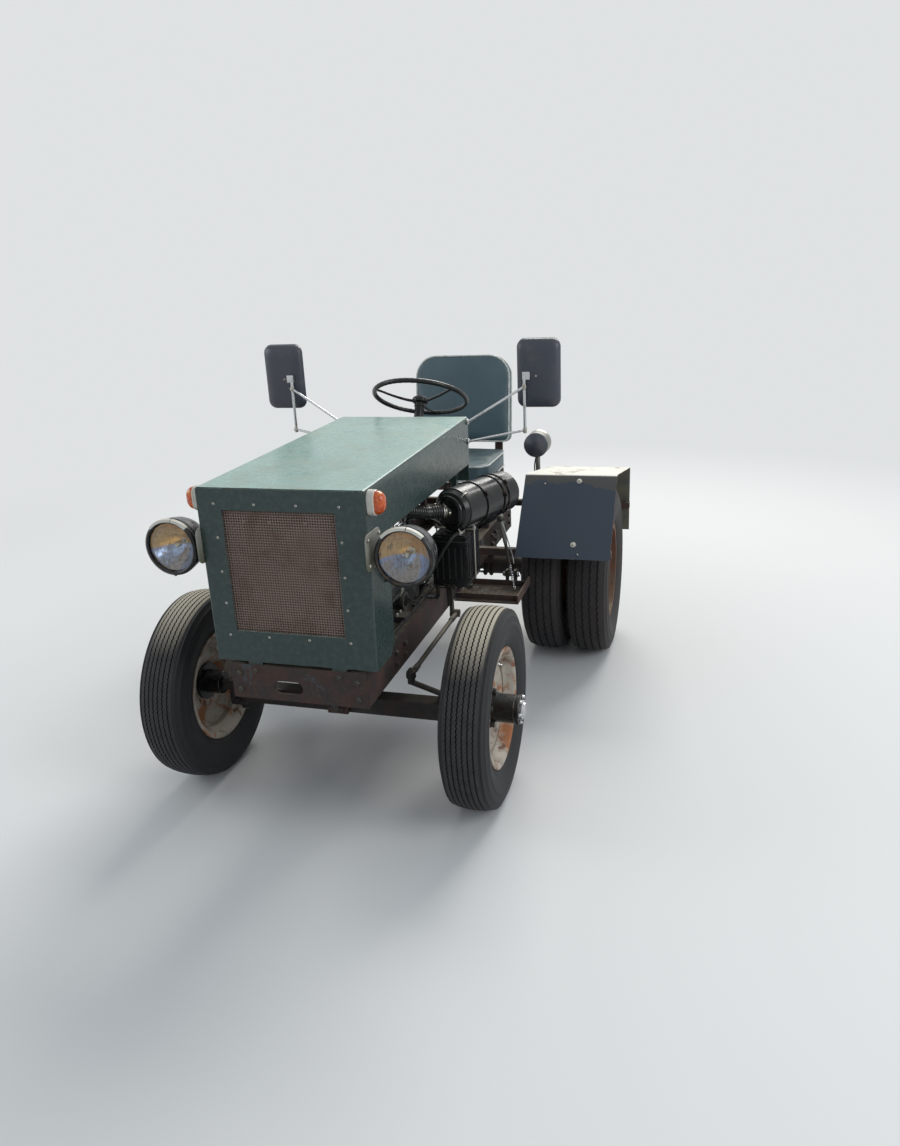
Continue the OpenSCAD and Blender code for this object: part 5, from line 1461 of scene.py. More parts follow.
# %% Gauges, switches and the key on the dash
def make_gauges():
    dash_y = HOOD_LONG
    bm_case, bm_dial, bm_mark = bmesh.new(), bmesh.new(), bmesh.new()
    for x in (-0.150, -0.060):
        centre = at(x, dash_y, 1.110)
        turned(bm_case, mm((38, 0), (38, 10), (36, 14), (32.5, 14.5), (31.5, 12), (31.5, 6), (0, 6)),
               centre, BACK, 48)
        turned(bm_dial, mm((31.2, 6.5), (0, 6.5)), centre, BACK, 40)
        for i in range(9):
            a = math.radians(-40 + i * 32.5)
            way = Vector((math.cos(a), 0, math.sin(a)))
            tick = centre + Vector((0, 0.0071, 0))
            pipe(bm_mark, [tick + way * 0.024, tick + way * 0.0295], 0.0006, 4)
        way = Vector((math.cos(2.3), 0, math.sin(2.3)))
        tick = centre + Vector((0, 0.0082, 0))
        pipe(bm_mark, [tick - way * 0.006, tick + way * 0.022], 0.0008, 5)
        turned(bm_mark, mm((3.5, 7), (3.5, 9.5), (0, 9.8)), centre, BACK, 16)
    for i, x in enumerate((0.060, 0.110, 0.160)):
        centre = at(x, dash_y, 1.110)
        turned(bm_case, mm((11, 0), (11, 4), (7, 6), (6, 22), (9, 24), (9, 32), (0, 34)),
               centre, BACK, 24)
    finish_piece("gauge_cases", bm_case, black_plastic, crease=40)
    finish_piece("gauge_dials", bm_dial, black_paint, crease=32)
    finish_piece("gauge_marks", bm_mark, pale_plastic, crease=32)


make_gauges()

# %% Mirror heads: crowned shells with the glass facing back
MIRROR_X, MIRROR_W, MIRROR_H, MIRROR_Z, MIRROR_R = 0.555, 0.175, 0.270, 1.355, 0.034


def make_mirrors():
    bm, glass, rims, screws = bmesh.new(), bmesh.new(), bmesh.new(), bmesh.new()
    front, rear = (corner.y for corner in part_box("mirror_heads"))
    for s in SIDES:
        def ring(y, inset):
            round_off = max(0.006, MIRROR_R - inset * 0.4)
            outline = round_box(MIRROR_W - 2 * inset, MIRROR_H - 2 * inset, round_off, 7)
            return [Vector((s * MIRROR_X + u, y, MIRROR_Z + v)) for u, v in outline]

        skin(bm, [ring(front, 0.052), ring(front + 0.001, 0.036), ring(front + 0.004, 0.020),
                  ring(front + 0.010, 0.008), ring(front + 0.018, 0.002), ring(front + 0.027, 0.0),
                  ring(rear - 0.0015, 0.0), ring(rear, 0.0015), ring(rear, 0.006),
                  ring(rear - 0.004, 0.007)], caps=True)
        skin(glass, [ring(rear - 0.0042, 0.0075), ring(rear - 0.0025, 0.0075), ring(rear - 0.0022, 0.0082)],
             caps=True)
        edge = [p for p in ring(rear - 0.004, -0.0004) if p.z > MIRROR_Z + MIRROR_H / 2 - 0.012]
        pipe(rims, edge, 0.0014, 6)
        for u, z in ((-0.045, 1.3465), (-0.0076, 1.3460)):
            dome_screw(screws, Vector((s * (MIRROR_X + u), front + 0.0005, z)), FORWARD, 5.2, 3.4)
        for z in (1.308, 1.135):
            bolt(screws, at(s * 0.5055, 1.188, z) + Vector((0, -0.0055, 0)), FORWARD, 11, 6)
            turned(screws, mm((6.2, -12), (7.8, -10), (7.8, 10), (6.2, 12)),
                   at(s * 0.505, 1.188, z), UP, 20)
        for z in (1.176, 1.096):
            bolt(screws, at(s * 0.2745, 1.145, z), (s, 0, 0), 13, 6)
    heads = finish_piece("mirror_shells", bm, mirror_plastic, crease=32)
    finish_piece("mirror_glasses", glass, mirror_glass, crease=20)
    finish_piece("mirror_rims", rims, chrome, crease=40)
    finish_piece("mirror_screws", screws, zinc)
    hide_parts("mirror_heads")


make_mirrors()

# %% [markdown]
# ## Engine bay
#
# The engine is open at its sides, so all that hangs on it shows: plugs and their leads, the
# carburettor, the fuel pump, the dynamo, hoses with their clamps, and rows of bolts. The
# castings stay as the frame has them, with their edges rounded a little by a Bevel modifier.

# %% Leads, clamps, springs and weld beads
def lead(bm, points, r, sides=7):
    """A wire, pipe or cable that bends through places."""
    pipe(bm, bend_through([at(*p) for p in points]), r, sides)


def hose_clamp(bm, place, axis, r, angle=0.0):
    """A band round a hose, with its worm screw at an angle."""
    turned(bm, [(r, -0.005), (r + 0.0012, -0.005), (r + 0.0012, 0.005), (r, 0.005)], place, axis, 28)
    m = facing(place, axis).to_3x3()
    out = m @ Vector((math.cos(angle), math.sin(angle), 0))
    way = m @ Vector((-math.sin(angle), math.cos(angle), 0))
    housing = Vector(place) + out * (r + 0.003)
    pipe(bm, [housing - way * 0.009, housing + way * 0.008], 0.0038, 8)
    bolt(bm, housing + way * 0.008, way, 7, 3, washer=False)


def coil(bm, start, end, r, wire, turns):
    """A tension spring with straight hooks at both ends."""
    axis = end - start
    m = facing(start, axis)
    long, steps = axis.length, turns * 10
    path = [start]
    for i in range(steps + 1):
        a = math.tau * i / 10
        path.append(m @ Vector((r * math.cos(a), r * math.sin(a), long * (0.12 + 0.76 * i / steps))))
    pipe(bm, path + [end], wire, 5)


def bead(bm, start, end, r=0.003):
    """A weld, as a row of overlapping ripples."""
    count = max(4, int((end - start).length / 0.003))
    path = [start.lerp(end, i / count) for i in range(count + 1)]
    pipe(bm, path, [r * (1.0 + 0.16 * (-1) ** i + 0.1 * wave(p, 40)) for i, p in enumerate(path)], 7)


BLOCK_X, BLOCK_FRONT, BLOCK_REAR = 0.120, 0.270, 0.690
CRANK_Z, DECK_Z, HEAD_Z = 0.590, 0.800, 0.885
PORTS = [0.336 + 0.092 * k for k in range(4)]
INLET_X, CARB_Y, CARB_TOP = 0.160, 0.460, 0.915
SPARK_X, SPARK_Y = 0.090, 0.640
print("ports at", [round(y, 3) for y in PORTS])

# %% Block, pan and head: flanges, ribs, plugs and bolts
def make_engine_castings():
    bm = bmesh.new()
    mid = (BLOCK_FRONT + BLOCK_REAR) / 2
    long = BLOCK_REAR - BLOCK_FRONT
    plate(bm, round_box(0.254, long + 0.006, 0.012, 3), at(0, mid, 0.565), UP, 0.010, 0.0015, BACK)
    plate(bm, round_box(0.244, long + 0.002, 0.006, 3), at(0, mid, DECK_Z - 0.012), UP, 0.010, 0.001, BACK)
    plate(bm, round_box(0.158, 0.392, 0.026, 4), at(0, 0.480, HEAD_Z), UP, 0.005, 0.001, BACK)
    for s in SIDES:
        for y in (0.300, 0.392, 0.484, 0.576, 0.668):
            plate(bm, round_box(0.008, 0.195, 0.003, 2), at(s * (BLOCK_X - 0.001), y, 0.680), (s, 0, 0),
                  0.006, 0.0015)
        for y in (0.346, 0.530, 0.622):
            dish = mm((22.5, 0), (22.5, 3), (20, 4), (17.5, 1), (0, 0.2))
            turned(bm, dish, at(s * BLOCK_X, y, 0.742), (s, 0, 0), 28)
    for x in (0.118, -0.118):
        for y in PORTS:
            flange = mm((27, 0), (27, 6), (25, 8), (19, 8))
            turned(bm, flange, at(math.copysign(0.104, x), y, 0.843), (x, 0, 0), 24)
    cap = mm((18, -4), (18, 12), (26, 14), (26.5, 26), (22, 30), (0, 31))
    turned(bm, cap, at(0, 0.385, 0.9295), UP, 32)
    finish_piece("engine_flanges", bm, engine_iron)


def make_engine_bolts():
    bm = bmesh.new()
    for s in SIDES:
        for i, y in enumerate(spread(0.288, 0.672, 10)):
            bolt(bm, at(s * 0.1235, y, 0.5745), UP, 8, 4, False, i)
        for i, y in enumerate(spread(0.300, 0.660, 5)):
            bolt(bm, at(s * 0.090, y, HEAD_Z), UP, 15, 9, True, i * 0.4)
        for y in PORTS:
            for dy in (-0.034, 0.034):
                bolt(bm, at(s * 0.105, y + dy, 0.843), (s, 0, 0), 12, 8)
        for y in (0.432, 0.465):
            bolt(bm, at(s * 0.185, y, 0.607), UP, 14, 9)
    for y in (0.330, 0.480, 0.630):
        bolt(bm, at(0, y, 0.9305), UP, 13, 9)
    for a, way in all_round("y", 6):
        bolt(bm, at(0, 0.220, CRANK_Z) + way * 0.024, FORWARD, 10, 5, False, a)
        bolt(bm, at(0, 0.250, 0.770) + way * 0.044, FORWARD, 9, 4, False, a)
    bolt(bm, at(0, 0.220, CRANK_Z), FORWARD, 28, 12)
    lead(bm, [(0.095, 0.655, 0.60), (0.128, 0.660, 0.66), (0.130, 0.662, 0.80), (0.138, 0.664, 0.87)], 0.0045)
    loop = [at(0.138, 0.664 + 0.011 * math.sin(a), 0.884 + 0.012 * math.cos(a)) for a in spread(0, 5.6, 14)]
    pipe(bm, loop, 0.0018, 6)
    finish_piece("engine_bolts", bm, zinc)


make_engine_castings()
make_engine_bolts()

# %% [markdown]
# ### Ignition
#
# Four plugs stand aslant in the head between the inlet ports. Their leads rise in loose arcs to
# the towers of the distributor cap, each a little different, and the coil hangs on the left foot
# of the dash.

# %% Plugs, distributor cap, leads and coil
def make_ignition():
    steel, black = bmesh.new(), bmesh.new()
    way = Vector((0.62, 0, 0.78)).normalized()
    towers = [at(SPARK_X + 0.0125 * math.cos(a), SPARK_Y + 0.0125 * math.sin(a), 0.972)
              for a in (math.tau * k / 4 + 0.6 for k in range(4))]
    for k, y in enumerate(PORTS):
        foot = at(0.100, y + 0.046, 0.8765)
        turned(steel, mm((8.5, 0), (8.5, 6), (6.2, 18), (5.5, 36)), foot, way, 20)
        turned(steel, mm((0, 5), (11.2, 5), (11.2, 14), (0, 14)), foot, way, 6)
        boot = mm((6.2, 30), (8.5, 32), (9.5, 38), (8.5, 56), (5.5, 64), (0, 65))
        turned(black, boot, foot, way, 18)
        top = foot + way * 0.062
        tower = towers[k]
        high = max(top.z, tower.z) + 0.022 + 0.012 * (k % 2)
        span = tower - top
        arc = [top, top + way * 0.020, top + span * 0.35 + Vector((0.012, 0, high - top.z)),
               top + span * 0.75 + Vector((0, 0, high - top.z)), tower + Vector((0, 0, 0.018)), tower]
        pipe(black, bend_through(arc, 7), 0.0036, 8)
    cap = mm((24.5, 0), (25.8, 2), (25.8, 10), (21.5, 18), (10, 20), (0, 20))
    turned(black, cap, at(SPARK_X, SPARK_Y, 0.950), UP, 32)
    for tower in towers + [at(SPARK_X, SPARK_Y, 0.972)]:
        turned(black, mm((6.2, -8), (5.6, 8), (7.2, 10), (7.2, 16), (4, 21)),
               tower, UP, 14)
    coil_at = at(0.210, 1.096, 0.780)
    turned(black, mm((0, 0), (21.5, 0), (22.5, 2), (22.5, 94), (21, 97), (21, 100), (15, 104), (8.5, 106),
                     (8.5, 122), (0, 123)), coil_at, UP, 32)
    turned(steel, mm((22.5, 40), (23.8, 40), (23.8, 60), (22.5, 60)), coil_at, UP, 32)
    lead(black, [(0.210, 1.096, 0.900), (0.205, 1.085, 0.945), (0.170, 0.960, 0.985), (0.125, 0.780, 1.005),
                 (0.093, 0.655, 1.015), (0.090, 0.640, 0.985)], 0.0036, 8)
    for x in (0.198, 0.222):
        bolt(steel, at(x, 1.096, 0.880), UP, 6, 5)
    turned(steel, mm((0, 0), (21, 0), (23, 2), (23, 6), (19, 12), (6, 16), (6, 24)),
           at(SPARK_X + 0.022, SPARK_Y, 0.934), (1, 0, 0), 24)
    finish_piece("spark_plugs", steel, zinc)
    finish_piece("ignition_leads", black, black_plastic, crease=40)


make_ignition()

# %% Carburettor, fuel pump and the throttle rod
def make_fuel_parts():
    cast, bright, pipes = bmesh.new(), bmesh.new(), bmesh.new()
    bowl = at(INLET_X + 0.047, CARB_Y + 0.004, 0.852)
    turned(cast, mm((0, -16), (8, -16), (10, -8), (24, 0), (27, 4), (27, 34), (31, 36), (31, 42), (24, 46),
                    (0, 48)), bowl, UP, 36)
    turned(cast, mm((34, 0), (36, 2), (36, 7), (33, 10)), at(INLET_X, CARB_Y, 0.904), UP, 36)
    plate(cast, round_box(0.104, 0.062, 0.024, 5), at(INLET_X, CARB_Y, 0.866), UP, 0.007, 0.001, BACK)
    pump = at(BLOCK_X, 0.600, 0.690)
    turned(cast, mm((26, 0), (26, 12), (18, 16), (18, 26)), pump, (1, 0, 0), 28)
    body = pump + Vector((0.046, 0, -0.018))
    turned(cast, mm((0, 0), (20, 0), (24, 6), (33, 12), (33, 18), (30, 20), (33, 22), (33, 28), (26, 34),
                    (22, 36), (0, 36)), body, UP, 36)
    turned(bright, mm((22.5, 36), (22.5, 56), (18, 61), (0, 62)), body, UP, 28)
    for a, way in all_round("z", 4, 0.7):
        dome_screw(bright, bowl + way * 0.0265 + Vector((0, 0, 0.042)), UP, 3.2, 2)
        bolt(bright, body + way * 0.029 + Vector((0, 0, 0.028)), UP, 6, 3, False, a)
    for x in (-0.043, 0.043):
        bolt(bright, at(INLET_X + x * 0.35, CARB_Y + x, 0.873), UP, 12, 8)
    shaft = [at(INLET_X + 0.004, CARB_Y - 0.046, 0.880), at(INLET_X + 0.004, CARB_Y + 0.050, 0.880)]
    pipe(bright, shaft, 0.0038, 10)
    for y, tip in ((-0.044, -0.030), (0.048, 0.034)):
        arm = [at(INLET_X + 0.004, CARB_Y + y, 0.880), at(INLET_X + 0.020, CARB_Y + y, 0.880 + tip)]
        pipe(bright, arm, 0.0045, 6)
        bolt(bright, arm[1], (0, math.copysign(1, y), 0), 8, 4)
    coil(bright, at(INLET_X + 0.020, CARB_Y - 0.048, 0.850), at(INLET_X + 0.012, CARB_Y - 0.118, 0.862),
         0.0045, 0.0009, 14)
    lead(bright, [(INLET_X + 0.020, CARB_Y + 0.052, 0.914), (0.196, 0.560, 0.918), (0.214, 0.760, 0.880),
                  (0.236, 0.960, 0.770), (0.262, 1.020, 0.640), (0.290, 1.030, 0.560)], 0.0032, 8)
    lead(pipes, [(0.166, 0.600, 0.722), (0.196, 0.596, 0.735), (0.214, 0.560, 0.800), (0.220, 0.500, 0.872),
                 (0.212, 0.478, 0.892)], 0.0032, 8)
    lead(pipes, [(0.166, 0.632, 0.692), (0.176, 0.690, 0.660), (0.180, 0.900, 0.610), (0.180, 1.200, 0.600),
                 (0.182, 1.560, 0.600)], 0.0032, 8)
    finish_piece("fuel_castings", cast, alloy)
    finish_piece("fuel_fittings", bright, bright_rod)
    finish_piece("fuel_pipes", pipes, copper, crease=60)


make_fuel_parts()

# %% Dynamo, oil filter, belt strap and hose clamps
def make_side_units():
    black, steel = bmesh.new(), bmesh.new()
    dynamo = at(0.182, 0.260, 0.740)
    for y in (-0.004, 0.146):
        ring = [(0.020, y), (0.050, y), (0.0562, y + 0.003), (0.0562, y + 0.008), (0.0545, y + 0.010)]
        turned(black, ring, dynamo, BACK, 40)
    turned(steel, mm((55.2, 98), (56.6, 98), (56.6, 124), (55.2, 124)), dynamo, BACK, 40)
    for a, way in all_round("y", 8):
        plate(black, round_box(0.022, 0.006, 0.0025, 3), dynamo + way * 0.036 + Vector((0, -0.004, 0)),
              FORWARD, 0.003, 0.0008, way)
    for z in (0.778, 0.702):
        bolt(steel, at(0.182, 0.408, z), BACK, 10, 6)
    strap = [at(0.020 + 0.165 * math.sin(a), 0.262,
                0.700 + 0.165 * math.cos(a)) for a in spread(0.30, 1.12, 12)]
    pipe(steel, strap, 0.0058, 6)
    bolt(steel, strap[-1] + Vector((0, -0.004, 0)), FORWARD, 14, 8)
    bolt(steel, strap[0] + Vector((0, -0.004, 0)), FORWARD, 14, 8)
    can = at(0.130, 0.447, 0.660)
    turned(black, mm((33, 0), (34.5, 1), (34.5, 6), (33.5, 8), (33.5, 78), (30, 86), (20, 88.5), (20, 90.5),
                     (0, 90.5)), can, (1, 0, 0), 40)
    turned(black, mm((0, 88), (13, 88), (13, 96), (0, 96)), can, (1, 0, 0), 6)
    for place, axis, r, angle in ((at(0.090, 0.122, 1.075), BACK, 0.0182, 0.4),
                                  (at(0.090, 0.300, 0.936), UP, 0.0182, 2.2),
                                  (at(-0.165, 0.132, 0.650), BACK, 0.0182, 1.0),
                                  (at(-0.100, 0.258, 0.650), BACK, 0.0182, 1.6),
                                  (at(INLET_X, CARB_Y, 0.930), UP, 0.0232, 2.6),
                                  (at(0.312, 0.645, 0.936), (0.788, 0.615, -0.048), 0.0232, 1.9)):
        hose_clamp(steel, place, axis, r, angle)
    finish_piece("dynamo_covers", black, black_paint)
    finish_piece("clamps_and_strap", steel, zinc)


make_side_units()

# %% [markdown]
# ### Air cleaner and battery
#
# The can lies aslant on its leg with three strap clamps. Its hose is ribbed rubber, so a small
# ring is turned every nine millimetres along each straight run. Below it stands the battery with
# six filler caps, two lead posts and a bar that holds it down.

# %% Straps, wing nut, ribbed hose
CAN_TURN = math.radians(20)
CAN_AT, CAN_WAY = at(0.332, 0.640, 0.935), Vector((math.sin(CAN_TURN), math.cos(CAN_TURN), 0))
CAN_R, CAN_LONG = 0.079, 0.380
HOSE_RUN = [at(0.344, 0.670, 0.935), at(0.262, 0.606, 0.940), at(0.196, 0.540, 0.963),
            at(INLET_X, CARB_Y, 0.965), at(INLET_X, CARB_Y, CARB_TOP)]


def make_cleaner_parts():
    steel, black, ribs = bmesh.new(), bmesh.new(), bmesh.new()
    for share, angle in ((0.36, 2.6), (0.66, 2.9), (0.74, 2.4)):
        hose_clamp(black, CAN_AT + CAN_WAY * (CAN_LONG * share + 0.007), CAN_WAY, CAN_R + 0.0035, angle)
    seam = [(CAN_R - 0.001, 0.030), (CAN_R + 0.0022, 0.032), (CAN_R + 0.0022, 0.038), (CAN_R, 0.041)]
    turned(black, seam, CAN_AT, CAN_WAY, 72)
    turned(black, mm((58, -1), (60, 3), (56.5, 3.5)), CAN_AT, CAN_WAY, 60)
    turned(steel, mm((14, 1), (14, -1), (6, -2), (6, -10), (0, -11)), CAN_AT, CAN_WAY, 20)
    side = Vector((CAN_WAY.y, -CAN_WAY.x, 0))
    for s in (-1, 1):
        wing = [CAN_AT - CAN_WAY * 0.006, CAN_AT - CAN_WAY * 0.010 + side * s * 0.012,
                CAN_AT - CAN_WAY * 0.014 + side * s * 0.018 + Vector((0, 0, s * 0.003))]
        pipe(steel, wing, [0.0035, 0.0042, 0.003], 8)
    for k in range(3):
        a = math.tau * k / 3 + 0.9
        around = side * math.cos(a) + Vector((0, 0, math.sin(a)))
        clip = [CAN_AT + CAN_WAY * t + around * (CAN_R + r) for t, r in ((0.020, -0.010), (0.028, 0.004),
                                                                         (0.046, 0.005), (0.056, 0.0005))]
        pipe(steel, bend_through(clip, 4), 0.0022, 6)
    for a, b in zip(HOSE_RUN, HOSE_RUN[1:]):
        way = (b - a).normalized()
        count = int(((b - a).length - 0.018) / 0.009)
        for i in range(count):
            ring = mm((22.6, -3.2), (25.4, -1.4), (25.4, 1.4), (22.6, 3.2))
            turned(ribs, ring, a + way * (0.013 + 0.009 * i), way, 22)
    finish_piece("cleaner_fittings", steel, zinc)
    finish_piece("cleaner_straps", black, black_paint)
    finish_piece("cleaner_hose_ribs", ribs, hose_rubber, crease=50)


make_cleaner_parts()

# %% Battery: lid seam, caps, posts, cables and the bar over it
BATTERY_X, BATTERY_Y, BATTERY_Z = (0.257, 0.387), (0.655, 0.845), (0.651, 0.842)


def make_battery_parts():
    case, metal, cable = bmesh.new(), bmesh.new(), bmesh.new()
    x, y, top = sum(BATTERY_X) / 2, sum(BATTERY_Y) / 2, BATTERY_Z[1]
    wide, long = BATTERY_X[1] - BATTERY_X[0], BATTERY_Y[1] - BATTERY_Y[0]
    plate(case, round_box(wide + 0.003, long + 0.003, 0.004, 3), at(x, y, top - 0.026), UP, 0.004, 0.001,
          BACK)
    for k in range(6):
        place = at(x - 0.022, BATTERY_Y[0] + 0.020 + 0.030 * k, top)
        turned(case, mm((11.5, 0), (11.5, 4), (10, 6), (4, 6), (3.5, 4), (0, 4)), place, UP, 22)
    for i in range(7):
        plate(case, round_box(0.006, 0.120, 0.002, 2),
              at(BATTERY_X[1] - 0.0005, BATTERY_Y[0] + 0.020 + 0.025 * i, 0.735), (1, 0, 0), 0.002, 0.0008,
              UP)
    for i in range(5):
        plate(case, round_box(0.006, 0.120, 0.002, 2), at(BATTERY_X[0] + 0.018 + 0.0235 * i,
                                                          BATTERY_Y[0] + 0.0005, 0.735), FORWARD, 0.002,
              0.0008, UP)
    for y_post in (BATTERY_Y[0] + 0.026, BATTERY_Y[1] - 0.026):
        post = at(x + 0.036, y_post, top)
        turned(metal, mm((9, 0), (8, 16), (0, 17)), post, UP, 18)
        turned(metal, mm((8.6, 3), (13.5, 3), (13.5, 13), (8.6, 13)), post, UP, 20)
        bolt(metal, post + Vector((0.012, 0.008, 0.008)), BACK, 9, 5)
    lead(cable, [(x + 0.036, BATTERY_Y[0] + 0.016, top + 0.008),
                 (x + 0.020, BATTERY_Y[0] - 0.030, top - 0.004), (x - 0.030, BATTERY_Y[0] - 0.040, 0.760),
                 (0.215, 0.600, 0.620), (0.205, 0.560, 0.597)], 0.0058, 9)
    lead(cable, [(x + 0.036, BATTERY_Y[1] - 0.016, top + 0.008),
                 (x + 0.010, BATTERY_Y[1] + 0.020, top - 0.006), (x - 0.060, BATTERY_Y[1] + 0.010, 0.740),
                 (0.200, 0.800, 0.640), (0.130, 0.740, 0.610)], 0.0058, 9)
    plate(metal, round_box(wide + 0.030, 0.016, 0.003, 2), at(x, y, top), UP, 0.0035, 0.0006, BACK)
    for x_rod in (BATTERY_X[0] - 0.008, BATTERY_X[1] + 0.008):
        pipe(metal, [at(x_rod, y, BATTERY_Z[0] - 0.004), at(x_rod, y, top + 0.016)], 0.0030, 8)
        bolt(metal, at(x_rod, y, top + 0.0035), UP, 11, 7)
    finish_piece("battery_lid", case, black_plastic)
    finish_piece("battery_fittings", metal, zinc)
    finish_piece("battery_cables", cable, hose_rubber, crease=60)


make_battery_parts()

# %% [markdown]
# ### Radiator and fan
#
# Behind the mesh stands the core: flat upright tubes with a stack of thin fins across them. The
# fins are real sheets, close together, so the opening reads dark and striped and not as a box.
# Two dark rubber guides close the room between the panel and the core, and they stand in for shade there:
# they keep the pale backdrop from showing past the sides of the core.

# %% Core fins, guides, cap and fan rivets
RAD_Y, RAD_HALF, CORE_Z = 0.052, 0.210, (0.680, 1.040)


def make_radiator_parts():
    core, guides_and_shade, brass_parts, bolts = bmesh.new(), bmesh.new(), bmesh.new(), bmesh.new()
    for i in range(72):
        z = CORE_Z[0] + (i + 0.5) * (CORE_Z[1] - CORE_Z[0]) / 72
        plate(core, [(-RAD_HALF, -0.0005), (RAD_HALF, -0.0005), (RAD_HALF, 0.0005), (-RAD_HALF, 0.0005)],
              at(0, RAD_Y, z), FORWARD, 0.0035, 0.0002, UP)
    for x in spread(-RAD_HALF + 0.008, RAD_HALF - 0.008, 30):
        pipe(core, [at(x, RAD_Y - 0.002, CORE_Z[0]), at(x, RAD_Y - 0.002, CORE_Z[1])], 0.0026, 6)
    for s in SIDES:
        # Dark guides at the core's sides: rubber, and dark sheets standing in for shade, hiding the pale
        # backdrop past the core.
        plate(guides_and_shade, [(-0.021, -0.180), (0.021, -0.180), (0.021, 0.180), (-0.021, 0.180)],
              at(s * 0.213, 0.0255, 0.860), (s, 0, 0), 0.003, 0.0005, UP)
        for z in (1.052, 1.098, 0.668, 0.637):
            for x in (0.060, 0.150):
                bolt(bolts, at(s * x, 0.044, z), FORWARD, 7, 3, False)
        bolt(bolts, at(s * 0.2165, 0.082, 0.606), (s, 0, 0), 13, 8)
    for z in (1.075, 0.652):
        plate(guides_and_shade, round_box(0.418, 0.010, 0.004, 2), at(0, 0.044, z), FORWARD, 0.0030, 0.0012, UP)
    cap = mm((23.5, 0), (26.5, 1), (27.5, 5), (27.5, 9), (20, 12.5), (12, 16), (0, 16.5))
    turned(brass_parts, cap, at(0.060, 0.082, 1.1355), UP, 40)
    for s in (-1, 1):
        plate(brass_parts, round_box(0.018, 0.014, 0.004, 3), at(0.060 + s * 0.031, 0.082, 1.139), UP, 0.004,
              0.001, BACK)
    turned(brass_parts, mm((6, 0), (6, 18), (9, 20), (9, 28), (0, 29)), at(0.120, 0.044, 0.645), FORWARD, 14)
    lead(brass_parts, [(0.078, 0.090, 1.122), (0.120, 0.126, 1.115), (0.190, 0.130, 1.060),
                       (0.200, 0.130, 0.800), (0.200, 0.130, 0.620)], 0.0032, 7)
    finish_piece("radiator_fins", core, black_plastic, crease=20)
    finish_piece("radiator_guides_and_shade", guides_and_shade, hose_rubber, crease=32)
    finish_piece("radiator_fittings", brass_parts, brass)
    finish_piece("radiator_bolts", bolts, zinc)


def make_fan_rivets():
    bm = bmesh.new()
    hub = at(0, 0.175, 0.770)
    for r, start in ((0.024, 0.78), (0.037, 0.0)):
        for a, way in all_round("y", 4, start):
            bolt(bm, hub + way * r, FORWARD, 10, 5, True, a - start)
    finish_piece("fan_bolts", bm, zinc, "fan")


make_radiator_parts()
make_fan_rivets()

# %% Rounded edges on the castings and boxes of the bay
for node in ("engine_block", "cylinder_head", "radiator", "air_cleaner", "generator", "gearbox"):
    soften(frame["nodes"][node], 0.0018, 2, 50)
print("engine bay dressed")

# %% [markdown]
# ## Frame and running gear
#
# The frame was cut and welded by hand and bolted to parts of an old van. So it gets what such
# work leaves behind: ripples of weld in the corners, hexagon bolts of several sizes, grease
# nipples, split pins, a brake pipe in clips. What belongs to a wheel, a rod or an arm rides on
# that body, so it goes along when the steering is turned.

# %% Welds and bolts on the frame
RAIL_X, RAIL_LOW, RAIL_TOP = 0.235, 0.465, 0.585
AXLE_Y, AXLE_Z = 1.700, REAR_AXLE.z


def make_frame_joints():
    welds, bolts = bmesh.new(), bmesh.new()
    for s in SIDES:
        bead(welds, at(s * RAIL_X, 0.008, RAIL_LOW + 0.004), at(s * RAIL_X, 0.008, RAIL_TOP - 0.004), 0.0036)
        bead(welds, at(s * 0.182, 0.008, RAIL_TOP), at(s * 0.233, 0.008, RAIL_TOP), 0.0032)
        for y in (1.233, 2.070):
            bead(welds, at(s * 0.182, y, RAIL_TOP), at(s * RAIL_X, y, RAIL_TOP), 0.0036)
            bead(welds, at(s * RAIL_X, y, RAIL_TOP), at(s * RAIL_X, y + 0.030, RAIL_TOP), 0.0036)
        for y in (0.258, 0.368, 1.050, 1.104, 2.040):
            bead(welds, at(s * 0.227, y, RAIL_LOW + 0.010), at(s * 0.227, y, RAIL_LOW + 0.050), 0.0034)
        for y in (1.630, 1.960):
            for y_leg in (y, y + 0.030):
                bead(welds, at(s * 0.195, y_leg, RAIL_TOP), at(s * 0.225, y_leg, RAIL_TOP), 0.0032)
        for z in (0.496, 0.554):
            bolt(bolts, at(s * 0.205, 0.0, z), FORWARD, 16, 9, True, z * 40)
        bolt(bolts, at(s * 0.145, 0.0, 0.567), FORWARD, 14, 8)
        for y in (0.270, 0.356, 1.055, 1.098, 1.665, 1.735, 1.900, 2.040):
            bolt(bolts, at(s * RAIL_X, y, 0.540), (s, 0, 0), 16, 9, True, y * 9)
            bolt(bolts, at(s * RAIL_X, y, 0.500), (s, 0, 0), 16, 9, True, y * 7)
        for y in (1.248, 2.085):
            for x in (0.560, 0.700, 0.830):
                bolt(bolts, at(s * x, y, 0.615), UP, 13, 7, True, x * 9)
    bead(welds, at(-0.065, 0.269, RAIL_LOW), at(0.065, 0.269, RAIL_LOW), 0.004)
    bead(welds, at(-0.065, 0.357, RAIL_LOW), at(0.065, 0.357, RAIL_LOW), 0.004)
    nut = at(0, 0.313 - 0.053, 0.319)
    bolt(bolts, nut, FORWARD, 36, 18)
    pipe(bolts, [nut + Vector((-0.026, -0.014, 0.002)), nut + Vector((0.024, -0.014, -0.003))], 0.0024, 6)
    for x in (-0.026, 0.026):
        for y in (1.862, 1.960, 2.050):
            bolt(bolts, at(x, y, 0.445), DOWN, 18, 10)
    finish_piece("frame_welds", welds, frame_steel, crease=70)
    finish_piece("frame_bolts", bolts, link_steel)


make_frame_joints()

